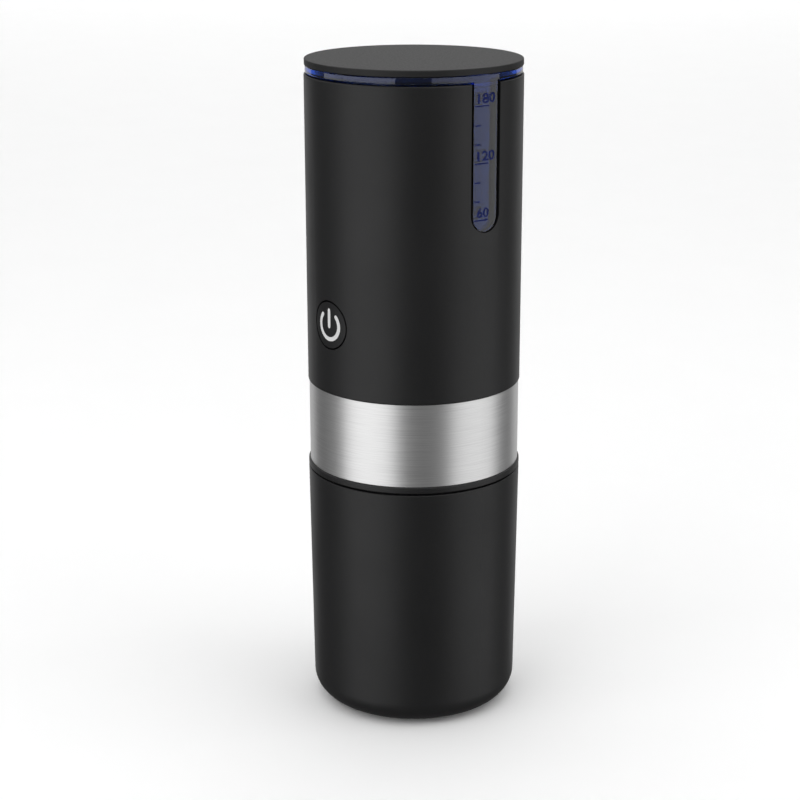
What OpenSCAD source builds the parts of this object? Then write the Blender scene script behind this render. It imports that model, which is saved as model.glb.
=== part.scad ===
// Portable coffee machine: a battery pump brewer for capsules that stands on its own cup.
// Sizes are in millimetres. The origin is the middle of the foot on the table, +Z is up,
// the power button faces -Y, the water window faces +X and the charging port faces +Y.

/* [Outside heights] */
// Height of the cup from the table to its shoulder
cup_h = 84.5; // [74:0.1:120]
// Shadow gap between the cup and the collar
cup_gap = 0.5; // [0.3:0.1:2]
// Height of the collar under the steel band
collar_h = 2.1; // [1.6:0.1:5]
// Height of the steel band
band_h = 28.3; // [22:0.1:33]
// Height of the black upper shell
shell_h = 102.8; // [95:0.1:150]
// Shadow gap between the shell and the clear rim
rim_gap = 0.45; // [0.3:0.05:1.5]
// Height of the clear rim under the lid
rim_h = 2.45; // [1.2:0.05:5]
// Thickness of the lid
lid_h = 2.1; // [1.9:0.1:5]

/* [Outside radii] */
// Radius of the upper shell
shell_r = 36; // [34:0.1:46]
// How far the steel band is set in from the shell
band_inset = 0.35; // [0.1:0.05:0.5]
// How far the collar and the cup's shoulder stand proud of the shell
collar_proud = 0.2; // [0:0.05:0.6]
// How far the clear rim and window are set in from the shell
rim_inset = 0.4; // [0.2:0.05:0.9]
// How far the lid's edge is set in from the shell
lid_inset = 0.15; // [0:0.05:1]
// Radius that the cup loses from its shoulder to the table
cup_taper = 1.05; // [0:0.05:1.6]

/* [Edge rounds] */
// Round at the foot of the cup
cup_foot_round = 8.1; // [4:0.1:12]
// Round on the lid's top edge
lid_round = 0.3; // [0.2:0.05:1]
// Round on the edges of the shell, collar, cup shoulder and clear rim
edge_round = 0.4; // [0.2:0.05:0.6]
// Round on the edges of the steel band
band_round = 0.2; // [0.1:0.05:0.3]
// Round inside the bottoms of the tank and of the cup
bowl_round = 5; // [2:0.5:10]

/* [Walls] */
// Wall of the upper shell
shell_wall = 1.8; // [1.5:0.1:2.2]
// Wall of the steel band
band_wall = 0.6; // [0.4:0.1:0.8]
// Wall of the inner frame where it enters the shell
frame_wall = 2; // [1.5:0.1:3]
// How far the inner frame reaches up into the shell
frame_spigot = 8; // [5:0.5:14]
// Wall of the collar around the cup's neck
skirt_wall = 1.3; // [1:0.1:2]
// Height of the cup's neck inside the collar
neck_h = 4.1; // [3:0.1:8]
// Wall of the cup's neck
neck_wall = 2; // [1.6:0.1:3]
// Thickness of the deck that closes the collar
deck_t = 2.5; // [2.2:0.1:4]
// Outer wall of the cup
cup_wall = 1.8; // [1.4:0.1:2.2]
// Floor of the cup's outer wall
cup_floor = 2.4; // [2:0.1:4]
// Inner wall of the cup
liner_wall = 1.2; // [0.8:0.1:1.6]
// Radius that the cup's inner wall loses from top to bottom
liner_taper = 0.9; // [0:0.1:2]
// Gap under the cup's inner wall
liner_gap = 0.8; // [0.4:0.1:2]
// Flange that hangs the inner wall in the outer one
liner_flange = 2; // [1.2:0.1:4]
// Wall of the cup outside that flange
cup_lip = 1.1; // [0.8:0.1:1.2]
// Wall of the water tank
tank_wall = 1.5; // [1:0.1:3]
// Floor of the water tank
tank_floor = 2; // [1.5:0.1:4]
// Ledge in the shell that carries the tank: its thickness
ledge_t = 2.5; // [1.5:0.1:4]
// Ledge in the shell that carries the tank: its reach inwards
ledge_reach = 3.5; // [2:0.1:5]
// Gap between the cradle and the ledge
ledge_gap = 0.8; // [0.4:0.1:3]
// Length of the neck under the tank
tank_neck_h = 1.4; // [1:0.1:2]
// Radius of the filter on the tank's floor
filter_r = 4.5; // [3.5:0.1:6]
// Thickness of that filter
filter_t = 1.2; // [0.8:0.1:2]
// Number of holes in that filter
filter_holes = 6; // [4:1:8]
// Radius of those holes
filter_hole_r = 0.65; // [0.4:0.05:0.8]

/* [Clearances] */
// Gap between fixed pieces that nest in each other
slip = 0.15; // [0.1:0.01:0.2]
// Gap between pieces that come apart or move past each other
glide = 0.3; // [0.2:0.05:0.4]
// Gap between a shaft and what it turns in
run = 0.05; // [0.02:0.01:0.1]

/* [Foot and seals] */
// Radius of the rubber foot
foot_r = 24; // [15:0.5:26]
// Thickness of the rubber foot
foot_t = 1.4; // [1:0.1:2]
// How far the foot stands below the cup
foot_proud = 0.4; // [0.2:0.1:0.8]
// Thickness of the gasket over the cup's neck
gasket_t = 1; // [0.6:0.1:2]
// Thickness of the seal over the capsule holder
brew_seal_t = 1.6; // [1.4:0.1:3]
// Thickness of the lid's O-ring
lid_seal_d = 2; // [1.5:0.1:3]
// Depth of the stopper under the lid
plug_h = 6.5; // [5:0.1:12]

/* [Water window] */
// Width of the slot in the shell
window_w = 12.1; // [8:0.1:18]
// Length of the slot from the top of the shell
window_l = 47.5; // [25:0.1:58]
// Gap on each side of the clear window in the slot
window_gap = 1.15; // [0.2:0.05:1.5]
// Gap under the clear window's round lower end
window_gap_low = 0.35; // [0.2:0.05:1.5]
// Depth of the step in the shell that fills most of these gaps
window_step = 1; // [0.45:0.05:1.2]

/* [Power button] */
// Radius of the button
button_r = 7.7; // [6:0.05:10]
// Groove around the button
button_groove = 0.55; // [0.3:0.05:1]
// Height of the button's centre above the foot of the shell
button_up = 23.6; // [18:0.1:26]
// How far the button's flange stands out inside the shell
button_lip = 1.4; // [1:0.1:2]
// Thickness of that flange
button_flange_t = 1.2; // [0.8:0.1:2]
// Length of the stem between flange and switch
button_stem = 0.6; // [0.4:0.1:2]
// Radius of that stem
button_stem_r = 2.7; // [2:0.1:4]
// Outer radius of the power symbol
icon_r = 5.35; // [3:0.05:6]
// Line width of the power symbol
icon_line = 1.35; // [0.8:0.05:2]
// How much narrower the symbol's round ends are than its line
icon_end_less = 0.1; // [0.05:0.05:0.2]
// Half of the opening at the top of the symbol's ring, in degrees
icon_open = 46; // [25:1:60]
// How far the symbol's bar reaches above the centre, without its round end
icon_bar_high = 5; // [3:0.1:6]
// How far the symbol's bar reaches below the centre, without its round end
icon_bar_low = 0.4; // [0:0.1:2]
// Depth of the symbol's inlay
icon_depth = 1.2; // [0.6:0.1:1.5]
// Side of the push switch
switch_side = 6.2; // [4:0.1:8]
// Height of the push switch
switch_h = 3.4; // [3:0.1:5]
// How far the switch's plunger stands out
plunger_proud = 1.6; // [1:0.1:3]
// Radius of the switch's plunger
plunger_r = 1.7; // [1:0.1:2.4]
// Depth of the plunger in the switch
plunger_in = 0.8; // [0.5:0.1:1.2]
// Depth of the switch's bore for the plunger
plunger_bore = 1.7; // [1.6:0.1:2.4]

/* [Charging port] */
// Height of the port's centre above the foot of the shell
port_up = 23.7; // [16:0.1:25]
// Width of the port's cover
port_w = 16; // [13:0.1:20]
// Height of the port's cover
port_tall = 9; // [7:0.1:12]
// Floor behind the cover
port_floor = 1.4; // [1:0.1:2]
// Radius of the hinge roll on the cover
port_roll_r = 0.8; // [0.7:0.05:0.85]
// Radius of the hinge pins on the cover
port_pin_r = 0.5; // [0.4:0.05:0.6]
// Length of each hinge pin
port_pin_l = 1.2; // [0.8:0.1:2]
// How far the hinge roll lies under the shell's outside
port_sink = 0.1; // [0.05:0.05:0.3]
// Rim of the thicker wall around the cover
port_boss_rim = 3; // [2:0.1:4]
// Width of the charging socket
socket_w = 8.9; // [8:0.1:10]
// Height of the charging socket
socket_tall = 3.2; // [3:0.1:4]
// Depth of the charging socket
socket_l = 6.4; // [5.5:0.1:8]
// Sheet thickness of the charging socket
socket_sheet = 0.35; // [0.2:0.05:0.5]
// Depth of the socket behind its mouth
socket_back = 1.2; // [0.8:0.1:2]
// Thickness of the tongue in the socket
tongue_t = 0.7; // [0.5:0.1:1]
// How far the tongue stops short of the mouth
tongue_short = 1; // [0.5:0.1:2]

/* [Boards and cells] */
// Radius of a battery cell
cell_r = 7.1; // [5:0.1:8]
// Length of a battery cell
cell_l = 50.5; // [48:0.1:56]
// Radius of a cell's pole
pole_r = 2.7; // [2:0.1:4]
// Height of a cell's pole
pole_h = 1; // [0.6:0.1:2]
// Thickness of the cell contacts
contact_t = 0.6; // [0.3:0.1:1]
// How much smaller than a cell, and wider than its pole, the contacts are
contact_rim = 1; // [0.5:0.1:2]
// Thickness of the cradle's two plates
cradle_t = 2.5; // [2:0.1:4]
// Wall of the cradle around a cell
cradle_wall = 1.2; // [0.8:0.1:2]
// Depth of the cradle around a cell's end
cradle_grip = 4; // [2:0.5:8]
// Half width of the circuit boards
board_half = 13; // [11:0.5:14]
// Thickness of the circuit boards
board_t = 1.6; // [1:0.1:2]
// How far a board enters its posts
board_grip = 1.5; // [1:0.1:2]
// Wall of the posts around a board
post_wall = 2; // [1.6:0.1:2.4]
// How far the switch board reaches below the button
switch_board_drop = 12; // [8:1:16]
// How far the control board reaches below the port
control_board_drop = 20; // [14:1:22]

// Side of the chip on the control board
chip_side = 7; // [4:0.5:9]
// Thickness of that chip
chip_t = 1.1; // [0.6:0.1:2]
// Side of the coil on the control board
coil_side = 6; // [4:0.5:8]
// Thickness of that coil
coil_t = 3; // [2:0.1:4]
// Radius of the capacitor on the control board
capacitor_r = 3; // [2:0.1:4]
// Length of that capacitor
capacitor_l = 6.5; // [4:0.5:8]
// Gap between those pieces
chip_gap = 2; // [1:0.5:3]

/* [Motor and pump] */
// Radius of the motor
motor_r = 12.2; // [11:0.1:13.5]
// Length of the motor's can
motor_l = 28; // [24:0.5:32]
// Thickness of the motor's end cap
motor_cap = 3; // [2.6:0.1:4]
// Sheet thickness of the motor's can
motor_sheet = 1; // [0.6:0.1:1.4]
// Thickness of the can's base
motor_base = 1.5; // [1:0.1:2.4]
// Room at each end of the armature
motor_room = 3; // [2:0.1:4]
// How far the magnets reach past the armature at each end
magnet_over = 1; // [0.5:0.1:1.5]
// Angle that each magnet takes up
magnet_deg = 130; // [90:5:150]
// Thickness of the magnets
magnet_t = 1.8; // [1:0.1:2.2]
// Air gap between magnets and armature
air_gap = 0.4; // [0.3:0.05:0.8]
// Angle that each pole of the armature takes up
pole_deg = 100; // [80:5:110]
// Thickness of the windings on each side of a pole
winding_t = 1.2; // [0.6:0.1:1.6]
// Thickness of the motor's brushes
brush_t = 1.2; // [0.8:0.1:1.6]
// Width of the motor's brushes
brush_w = 2.4; // [1.6:0.1:3]
// Radius of the motor's shaft and of the idler's shaft
shaft_r = 1.25; // [1:0.05:1.5]
// Wall of the bushes
bush_wall = 1.5; // [1:0.1:1.8]
// Length of the bushes
bush_l = 2.6; // [2:0.1:2.6]
// Pitch diameter of each gear
gear_d = 12; // [10:0.5:14]
// Number of teeth on each gear
gear_teeth = 12; // [10:1:14]
// Width of the gears
gear_w = 8; // [5:0.5:10]
// Pressure angle of the teeth
pressure_angle = 25; // [22:1:28]
// Play between the teeth
backlash = 0.2; // [0.1:0.02:0.3]
// Height of a tooth above the pitch circle, in modules
addendum = 0.95; // [0.8:0.05:1]
// Depth of a tooth below the pitch circle, in modules
dedendum = 1.25; // [1.2:0.05:1.3]
// Play above and below the gears
gear_play = 0.2; // [0.1:0.05:0.4]
// Radius of the water pockets on each side of the mesh
pocket_r = 2.6; // [2:0.1:3]
// Wall of the pump around the gears
pump_wall = 4; // [3.2:0.1:5]
// Floor of the pump
pump_floor = 4; // [3.6:0.1:6]
// Thickness of the pump's cover
pump_cover_t = 4; // [3.6:0.1:6]
// Radius of the shaft seal
shaft_seal_r = 4; // [3.4:0.1:4.2]
// Thickness of the shaft seal
shaft_seal_t = 2.2; // [1.2:0.1:2.4]
// Bore of the water ways
water_r = 1.4; // [1:0.1:1.6]
// Radius of the pump's inlet and outlet necks
spigot_r = 4; // [3.4:0.1:4.5]
// Depth of the outlet neck in the brew head
spigot_in = 1.3; // [0.8:0.1:1.6]
// Thickness of the seal under the outlet neck
outlet_seal_t = 1.2; // [0.8:0.1:1.4]
// Radius of the hose barbs
barb_r = 2.2; // [1.9:0.05:2.6]
// Length of the hose barbs
barb_l = 7; // [4:0.5:10]
// Wall of the suction hose
hose_wall = 1.2; // [0.8:0.1:1.6]
// How far the shoulder under the hose stands out past it
hose_shoulder = 0.4; // [0.2:0.1:0.8]

/* [Brew head] */
// Radius of the capsule chamber
capsule_r = 18.9; // [17:0.1:20]
// Depth of the capsule chamber
capsule_h = 29; // [24:0.5:34]
// Wall of the capsule holder
holder_wall = 2.6; // [2:0.1:3]
// How far the holder's grip stands out from its barrel
grip_out = 1.9; // [1:0.1:3]
// Floor of the capsule holder
holder_floor = 2.3; // [1.5:0.1:4]
// Radius of the outlet spout
spout_r = 6; // [4:0.1:8]
// Length of the outlet spout
spout_l = 8; // [4:0.5:10]
// Bore of the outlet spout
spout_bore = 2.5; // [1.5:0.1:3]
// Thickness of the piercing plate and of the outlet plate
plate_t = 1.2; // [0.8:0.1:1.5]
// Length of the piercing needles
needle_l = 5.5; // [4:0.5:7]
// Radius of the piercing needles
needle_r = 1.6; // [1:0.1:2]
// Radius of the needles' blunt tips
needle_tip_r = 0.2; // [0.1:0.05:0.4]
// Radius of the water holes in the piercing plate
plate_hole_r = 0.8; // [0.5:0.05:1.2]
// Radius of the circle of needles
needle_at = 9.5; // [6:0.1:12]
// Radius of the peaks on the outlet plate
peak_r = 1.3; // [0.8:0.1:1.8]
// Height of the peaks on the outlet plate
peak_h = 1.5; // [1:0.1:2.5]
// Distance between the peaks
peak_pitch = 5; // [4:0.1:5.5]
// Radius of the drip holes between the peaks
drip_r = 0.7; // [0.4:0.05:0.9]
// Top of the brew head, over the capsule
brew_top = 3.8; // [3.4:0.1:6]
// Depth of the water chamber over the piercing plate
chamber_t = 0.8; // [0.4:0.1:1]
// Rim of that chamber past the water inlet
chamber_rim = 1; // [0.5:0.1:2]
// Depth of the bayonet socket
socket_deep = 12.4; // [11.5:0.1:16]
// Wall of the brew head outside the bayonet groove
brew_wall = 2.5; // [2:0.1:3.2]
// How far the bayonet lugs stand out
lug_out = 2.2; // [1.5:0.1:2.6]
// Height of the bayonet lugs
lug_h = 3; // [2:0.1:3.4]
// Height of the lugs above the mouth of the socket
lug_up = 4; // [3:0.1:4.4]
// Width of each bayonet lug, in degrees
lug_deg = 35; // [25:1:40]
// Turn between locked and free, in degrees
lock_deg = 60; // [55:1:65]
// Play of a lug in its entry, in degrees
lug_play_deg = 5; // [3:1:8]
// Number of flutes on the holder's grip
flutes = 20; // [12:1:28]
// Radius of the flutes
flute_r = 1.3; // [0.8:0.1:2]
// Depth of the flutes
flute_depth = 0.9; // [0.4:0.1:1.2]

/* [Screws] */
// Radius of the frame and brew head screws
screw_r = 1.25; // [1:0.05:1.5]
// Radius of the heads of those screws
screw_head_r = 2.3; // [2:0.05:2.6]
// Radius of the small screws in the pump, motor, cradle and lid
small_screw_r = 0.9; // [0.7:0.05:1]
// Radius of the heads of the small screws
small_head_r = 1.7; // [1.4:0.05:1.9]
// Height of a countersunk head
head_h = 1.2; // [0.8:0.1:1.3]
// Radius of the six-sided key holes in the heads
key_r = 0.7; // [0.4:0.05:0.9]
// Wall of the bosses around the frame screws
boss_wall = 1.75; // [1.4:0.05:2.2]
// How far the frame screws enter the frame
frame_screw_bite = 10; // [6:0.5:14]
// How far the brew head screws enter the brew head
brew_screw_bite = 5.8; // [4:0.1:8]
// How far the small screws enter the pump and the cradle
small_screw_bite = 8; // [5:0.5:10]
// How far the lid screws enter the lid
lid_screw_bite = 1.2; // [0.8:0.1:1.5]
// Radius of the circle of lid screws
lid_screw_at = 20; // [10:0.5:26]

/* [Hidden] */
$fn = 96;
cut = 0.5;

// Colours
black = "#232326";
dark_grey = "#3a3b3f";
steel = "#b9bcc0";
clear_blue = [0.25, 0.33, 0.62, 0.5];
rubber = "#2b2b2b";
silicone = "#8f9297";
white_light = "#e6e7ea";
brass = "#b08d4a";
nickel = "#c9c9c4";
copper = "#b5703c";
board_green = "#1f5a3a";
cell_wrap = "#3f6fb0";

// Heights up the outside
z_collar = cup_h + cup_gap;
z_band = z_collar + collar_h;
z_shell = z_band + band_h;
z_shell_top = z_shell + shell_h;
z_rim = z_shell_top + rim_gap;
z_lid = z_rim + rim_h;
z_top = z_lid + lid_h;

// Radii from the outside in
band_r = shell_r - band_inset;
band_in_r = band_r - band_wall;
shell_in_r = shell_r - shell_wall;
rim_r = shell_r - rim_inset;
lid_r = shell_r - lid_inset;
collar_r = shell_r + collar_proud;
cup_r = collar_r;
cup_foot_r = cup_r - cup_taper;
tank_r = shell_in_r - glide;
tank_in_r = tank_r - tank_wall;
frame_r = band_in_r - slip;
frame_spigot_r = shell_in_r - slip;
frame_in_r = frame_spigot_r - frame_wall;
bay_r = frame_in_r - slip;
collar_in_r = frame_r - skirt_wall;
neck_r = collar_in_r - glide;
neck_in_r = neck_r - neck_wall;
liner_seat_r = cup_r - cup_lip;

// Cup and deck
z_neck = z_band + neck_h;
z_under = z_neck + gasket_t;
z_deck = z_under + deck_t;
z_liner = foot_proud + cup_floor + liner_gap;
neck_round = neck_wall / 4;
foot_round = foot_proud / 2;

// Cradle, ledge and tank, stacked on the deck
z_cell = z_deck + cradle_t + contact_t;
z_cradle_top = z_cell + cell_l + contact_t;
z_ledge = z_cradle_top + cradle_t + ledge_gap;
z_tank = z_ledge + ledge_t;
ledge_r = shell_in_r - ledge_reach;
cell_x = bay_r - cell_r - cradle_wall - slip - glide;

// Window
z_window = z_shell_top - window_l;
step_w = window_gap - slip;
step_low = window_gap_low - slip;

// Gears and pump
gear_module = gear_d / gear_teeth;
pitch_r = gear_d / 2;
gear_out_r = pitch_r + addendum * gear_module;
gear_root_r = pitch_r - dedendum * gear_module;
base_r = pitch_r * cos(pressure_angle);
gear_gap = 2 * pitch_r;
pump_bore_r = gear_out_r + glide;
pump_r = pump_bore_r + pump_wall;
z_gear = z_deck + pump_floor + gear_play;
z_cover = z_gear + gear_w + gear_play;
z_motor = z_cover + pump_cover_t;
z_motor_cap = z_motor + motor_l;
z_shaft = z_deck + pump_floor - bush_l + gear_play;
z_inlet = z_gear + gear_w / 2;
bush_r = shaft_r + run + bush_wall;
pump_screw_at = pump_bore_r + pump_wall / 2;

// Water ways: the inlet lies at 45 degrees, towards the hose, and the outlet opposite it
port_x = pitch_r;
port_y = gear_gap / 2;
hose_angle = 45;
hose_at = (motor_r + bay_r) / 2;
hose_in_r = barb_r + run;
hose_r = hose_in_r + hose_wall;
inlet_r = hose_r + hose_shoulder;
z_hose = z_inlet + inlet_r + slip;
z_hose_top = z_tank - tank_neck_h - slip;

// Motor
motor_in_r = motor_r - motor_sheet;
magnet_r = motor_in_r - run;
armature_r = magnet_r - magnet_t - air_gap;
armature_l = motor_l - motor_base - 3 * motor_room - 2 * magnet_over;
z_magnet = z_motor + motor_base + motor_room;
z_armature = z_magnet + magnet_over;
z_commutator = z_armature + armature_l;
commutator_r = 2 * shaft_r;
hub_r = armature_r / 2;
pole_neck = hub_r;
pole_in_r = armature_r - armature_r / 5;
poles = 3;
motor_screw_at = shaft_seal_r + small_head_r + 2 * glide;

// Brew head and capsule holder, hung under the deck
lugs = 3;
lug_step = 360 / lugs;
needles = 3;
needle_turn = 30;
peak_rows = 2;
barrel_r = capsule_r + holder_wall;
bayonet_r = barrel_r + glide;
lug_r = barrel_r + lug_out;
groove_r = lug_r + glide;
brew_r = groove_r + brew_wall;
grip_r = barrel_r + grip_out;
z_ceiling = z_under - brew_top;
z_holder_top = z_ceiling - brew_seal_t - glide;
z_chamber = z_holder_top - capsule_h;
z_plate = z_chamber - plate_t;
z_grip = z_plate - holder_floor;
z_spout = z_grip - spout_l;
z_socket = z_ceiling - socket_deep;
z_grip_top = z_socket - glide;
z_lug = z_socket + lug_up;
seal_in_r = capsule_r - slip;
chamber_r = norm([port_x, port_y]) + water_r + chamber_rim;

// Screw circles: how many screws each has, and where the first one lies, in degrees
ring_screws = 3;
frame_screw_turn = 30;
brew_screw_turn = 90;
lid_screw_turn = 90;
pump_screw_turn = 60;
boss_r = screw_r + boss_wall;
boss_h = frame_screw_bite + boss_wall;
boss_at = frame_in_r - boss_r + cut;
frame_screw_l = deck_t + frame_screw_bite;
brew_screw_at = (bayonet_r + brew_r) / 2;
brew_screw_l = deck_t + brew_screw_bite;

// Button, switch and switch board, inwards from the shell
z_button = z_shell + button_up;
button_hole_r = button_r + button_groove;
button_flange_r = button_r + button_lip;
y_flange = sqrt(pow(shell_in_r, 2) - pow(button_flange_r, 2)) - glide;
y_stem = y_flange - button_flange_t;
y_plunger = y_stem - button_stem;
y_switch = y_plunger - plunger_proud;
y_front_board = y_switch - switch_h;
icon_mid_r = icon_r - icon_line / 2;
icon_end_d = icon_line - icon_end_less;

// Charging port and control board, inwards from the shell
z_port = z_shell + port_up;
roll_x = port_roll_r - port_w / 2;
roll_y = sqrt(pow(shell_r, 2) - pow(port_w / 2, 2)) - port_sink - port_roll_r;
y_flap = roll_y - port_roll_r;
y_pocket = y_flap - glide;
y_port_boss = y_pocket - port_floor;
y_socket = y_port_boss - slip;
y_back_board = y_socket - socket_l;

// Boards stand in posts of the cradle
board_top = z_cradle_top - slip;
z_switch_board = z_button - switch_board_drop;
z_control_board = max(z_port - control_board_drop, z_motor + glide);

// Lid
plug_r = tank_in_r - glide;
z_plug = z_lid - plug_h;
lid_seal_at = tank_in_r - slip - lid_seal_d / 2;
lid_groove_r = lid_seal_at - lid_seal_d / 2 - slip;
lid_screw_l = plug_h + lid_screw_bite;

// Ring of square section about Z
module ring(r_in, r_out, z0, z1) {
  rotate_extrude()
    translate([r_in, z0])
      square([r_out - r_in, z1 - z0]);
}

// What a round of radius r takes off an outer corner
module corner(r) {
  difference() {
    square(r + cut);
    circle(r);
  }
}

// Section of a ring whose outer corners are rounded
module ring_section(r_in, r_out, z0, z1, top, bottom) {
  difference() {
    translate([r_in, z0])
      square([r_out - r_in, z1 - z0]);
    if (top > 0)
      translate([r_out - top, z1 - top])
        corner(top);
    if (bottom > 0)
      translate([r_out - bottom, z0 + bottom])
        mirror([0, 1])
          corner(bottom);
  }
}

// Half section of a bowl with leaning walls and a round foot
module bowl_section(r_top, r_foot, z_foot, z_rim, round_r) {
  lean = atan((r_top - r_foot) / (z_rim - z_foot));
  arc_x = r_foot + round_r * tan(lean) - round_r / cos(lean);
  arc_z = z_foot + round_r;
  polygon([
    [0, z_foot],
    [arc_x, z_foot],
    [arc_x, arc_z],
    [arc_x + round_r * cos(lean), arc_z - round_r * sin(lean)],
    [r_top, z_rim],
    [0, z_rim]
  ]);
  translate([arc_x, arc_z])
    circle(round_r);
}

// Copies a child around Z at a radius
module around(count, at, start) {
  for (i = [0 : count - 1])
    rotate([0, 0, start + i * 360 / count])
      translate([at, 0, 0])
        children();
}

// Countersunk screw with its head at the bottom and its tip up
module screw(r, head_r, l) {
  difference() {
    union() {
      cylinder(r1 = head_r, r2 = r, h = head_h);
      cylinder(r = r, h = l);
    }
    translate([0, 0, -cut])
      cylinder(r = key_r, h = head_h / 2 + cut, $fn = 6);
  }
}

// Hole for that screw
module screw_hole(r, head_r, l) {
  translate([0, 0, -slip])
    cylinder(r1 = head_r + 2 * slip, r2 = r + slip, h = head_h + slip);
  translate([0, 0, -slip])
    cylinder(r = r + slip, h = l + 2 * slip);
}

// Places shared by the screws and their holes
module at_frame_screws() {
  translate([0, 0, z_under])
    around(ring_screws, boss_at, frame_screw_turn)
      children();
}

module at_brew_screws() {
  translate([0, 0, z_deck])
    mirror([0, 0, 1])
      around(ring_screws, brew_screw_at, brew_screw_turn)
        children();
}

module at_pump_screws() {
  translate([0, 0, z_motor])
    mirror([0, 0, 1])
      for (side = [-1, 1]) {
        rotate([0, 0, -90 + pump_screw_turn * side])
          translate([pump_screw_at, 0, 0])
            children();
        translate([0, gear_gap, 0])
          rotate([0, 0, 90 + pump_screw_turn * side])
            translate([pump_screw_at, 0, 0])
              children();
      }
}

module at_motor_screws() {
  translate([0, 0, z_cover])
    around(2, motor_screw_at, 0)
      children();
}

module at_lid_screws() {
  translate([0, 0, z_plug])
    around(ring_screws, lid_screw_at, lid_screw_turn)
      children();
}

module at_cradle_screws() {
  for (side = [-1, 1]) {
    translate([side * (board_half + post_wall / 2 + slip / 2), y_back_board - board_t / 2, 0])
      children();
    translate([side * (board_half + post_wall / 2 + slip / 2), board_t / 2 - y_front_board, 0])
      children();
  }
}

module at_cells() {
  for (side = [-1, 1])
    translate([side * cell_x, 0, 0])
      children();
}

module at_gears() {
  children();
  translate([0, gear_gap, 0])
    children();
}

module at_hose() {
  rotate([0, 0, hose_angle])
    translate([hose_at, 0, 0])
      children();
}

module at_outlet() {
  translate([-port_x, port_y, 0])
    children();
}

// Turns a drawing so that it stands upright and is drawn out towards the front
module facing_front(z) {
  translate([0, 0, z])
    rotate([90, 0, 0])
      children();
}

// Turns a drawing so that it stands upright and is drawn out towards the back
module facing_back(z) {
  translate([0, 0, z])
    rotate([90, 0, 180])
      children();
}

// Cup

module cup_shell() {
  color(black)
    rotate_extrude()
      difference() {
        bowl_section(cup_r, cup_foot_r, foot_proud, cup_h, cup_foot_round);
        bowl_section(cup_r - cup_wall, cup_foot_r - cup_wall, foot_proud + cup_floor,
          cup_h + cut, cup_foot_round - cup_wall);
        translate([0, cup_h - liner_flange])
          square([liner_seat_r, liner_flange + cut]);
        translate([cup_r - edge_round, cup_h - edge_round])
          corner(edge_round);
        square([foot_r + slip, foot_t]);
      }
}

module cup_liner() {
  color(dark_grey)
    rotate_extrude()
      difference() {
        union() {
          bowl_section(neck_in_r + liner_wall, neck_in_r - liner_taper + liner_wall, z_liner,
            cup_h, bowl_round + liner_wall);
          translate([0, cup_h - liner_flange])
            square([liner_seat_r - slip, liner_flange]);
          translate([0, cup_h - cut])
            square([neck_r, z_neck - cup_h + cut]);
        }
        bowl_section(neck_in_r, neck_in_r - liner_taper, z_liner + liner_wall, z_neck + cut,
          bowl_round);
        translate([neck_r - neck_round, z_neck - neck_round])
          corner(neck_round);
      }
}

module foot_pad() {
  color(rubber)
    rotate_extrude()
      ring_section(0, foot_r, 0, foot_t, 0, foot_round);
}

// Outer walls of the machine

module base_collar() {
  color(black)
    difference() {
      rotate_extrude() {
        ring_section(collar_in_r, collar_r, z_collar, z_band, edge_round, edge_round);
        translate([collar_in_r, z_band - cut])
          square([frame_r - collar_in_r, z_deck - z_band + cut]);
        translate([0, z_under])
          square([frame_r, deck_t]);
      }
      at_outlet()
        translate([0, 0, z_under - cut])
          cylinder(r = spigot_r + slip, h = deck_t + 2 * cut);
      at_frame_screws()
        screw_hole(screw_r, screw_head_r, frame_screw_l);
      at_brew_screws()
        screw_hole(screw_r, screw_head_r, brew_screw_l);
    }
}

module steel_band() {
  color(steel)
    rotate_extrude()
      ring_section(band_in_r, band_r, z_band, z_shell, band_round, band_round);
}

module inner_frame() {
  color(dark_grey)
    difference() {
      union() {
        ring(frame_in_r, frame_r, z_deck, z_shell);
        ring(frame_in_r, frame_spigot_r, z_shell - cut, z_shell + frame_spigot);
        translate([0, 0, z_deck])
          around(ring_screws, boss_at, frame_screw_turn)
            cylinder(r = boss_r, h = boss_h);
      }
      at_frame_screws()
        screw_hole(screw_r, screw_head_r, frame_screw_l);
    }
}

module frame_screws() {
  color(steel)
    at_frame_screws()
      screw(screw_r, screw_head_r, frame_screw_l);
}

// Upright slot with a round lower end, drawn through the wall on the window's side
module window_slot(w, z_low, z_high, r0, r1) {
  translate([r0, -w / 2, z_low + w / 2])
    cube([r1 - r0, w, z_high - z_low - w / 2]);
  translate([r0, 0, z_low + w / 2])
    rotate([0, 90, 0])
      cylinder(d = w, h = r1 - r0);
}

module upper_shell() {
  color(black)
    difference() {
      union() {
        rotate_extrude()
          ring_section(shell_in_r, shell_r, z_shell, z_shell_top, edge_round, edge_round);
        ring(ledge_r, shell_in_r + shell_wall / 2, z_ledge, z_tank);
        port_boss();
      }
      difference() {
        window_slot(window_w, z_window, z_shell_top + cut, shell_r / 2, shell_r + cut);
        cylinder(r = shell_r - window_step, h = z_top);
      }
      window_slot(window_w - 2 * step_w, z_window + step_low, z_shell_top + cut, shell_r / 2,
        shell_r + cut);
      facing_front(z_button)
        cylinder(r = button_hole_r, h = shell_r + cut);
      port_pocket();
    }
}

// Thicker wall around the charging port
module port_boss() {
  boss_w = port_w + 2 * port_boss_rim;
  boss_tall = port_tall + 2 * port_boss_rim;
  intersection() {
    translate([-boss_w / 2, y_port_boss, z_port - boss_tall / 2])
      cube([boss_w, shell_r - y_port_boss, boss_tall]);
    cylinder(r = shell_r - shell_wall / 2, h = z_top);
  }
}

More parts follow.
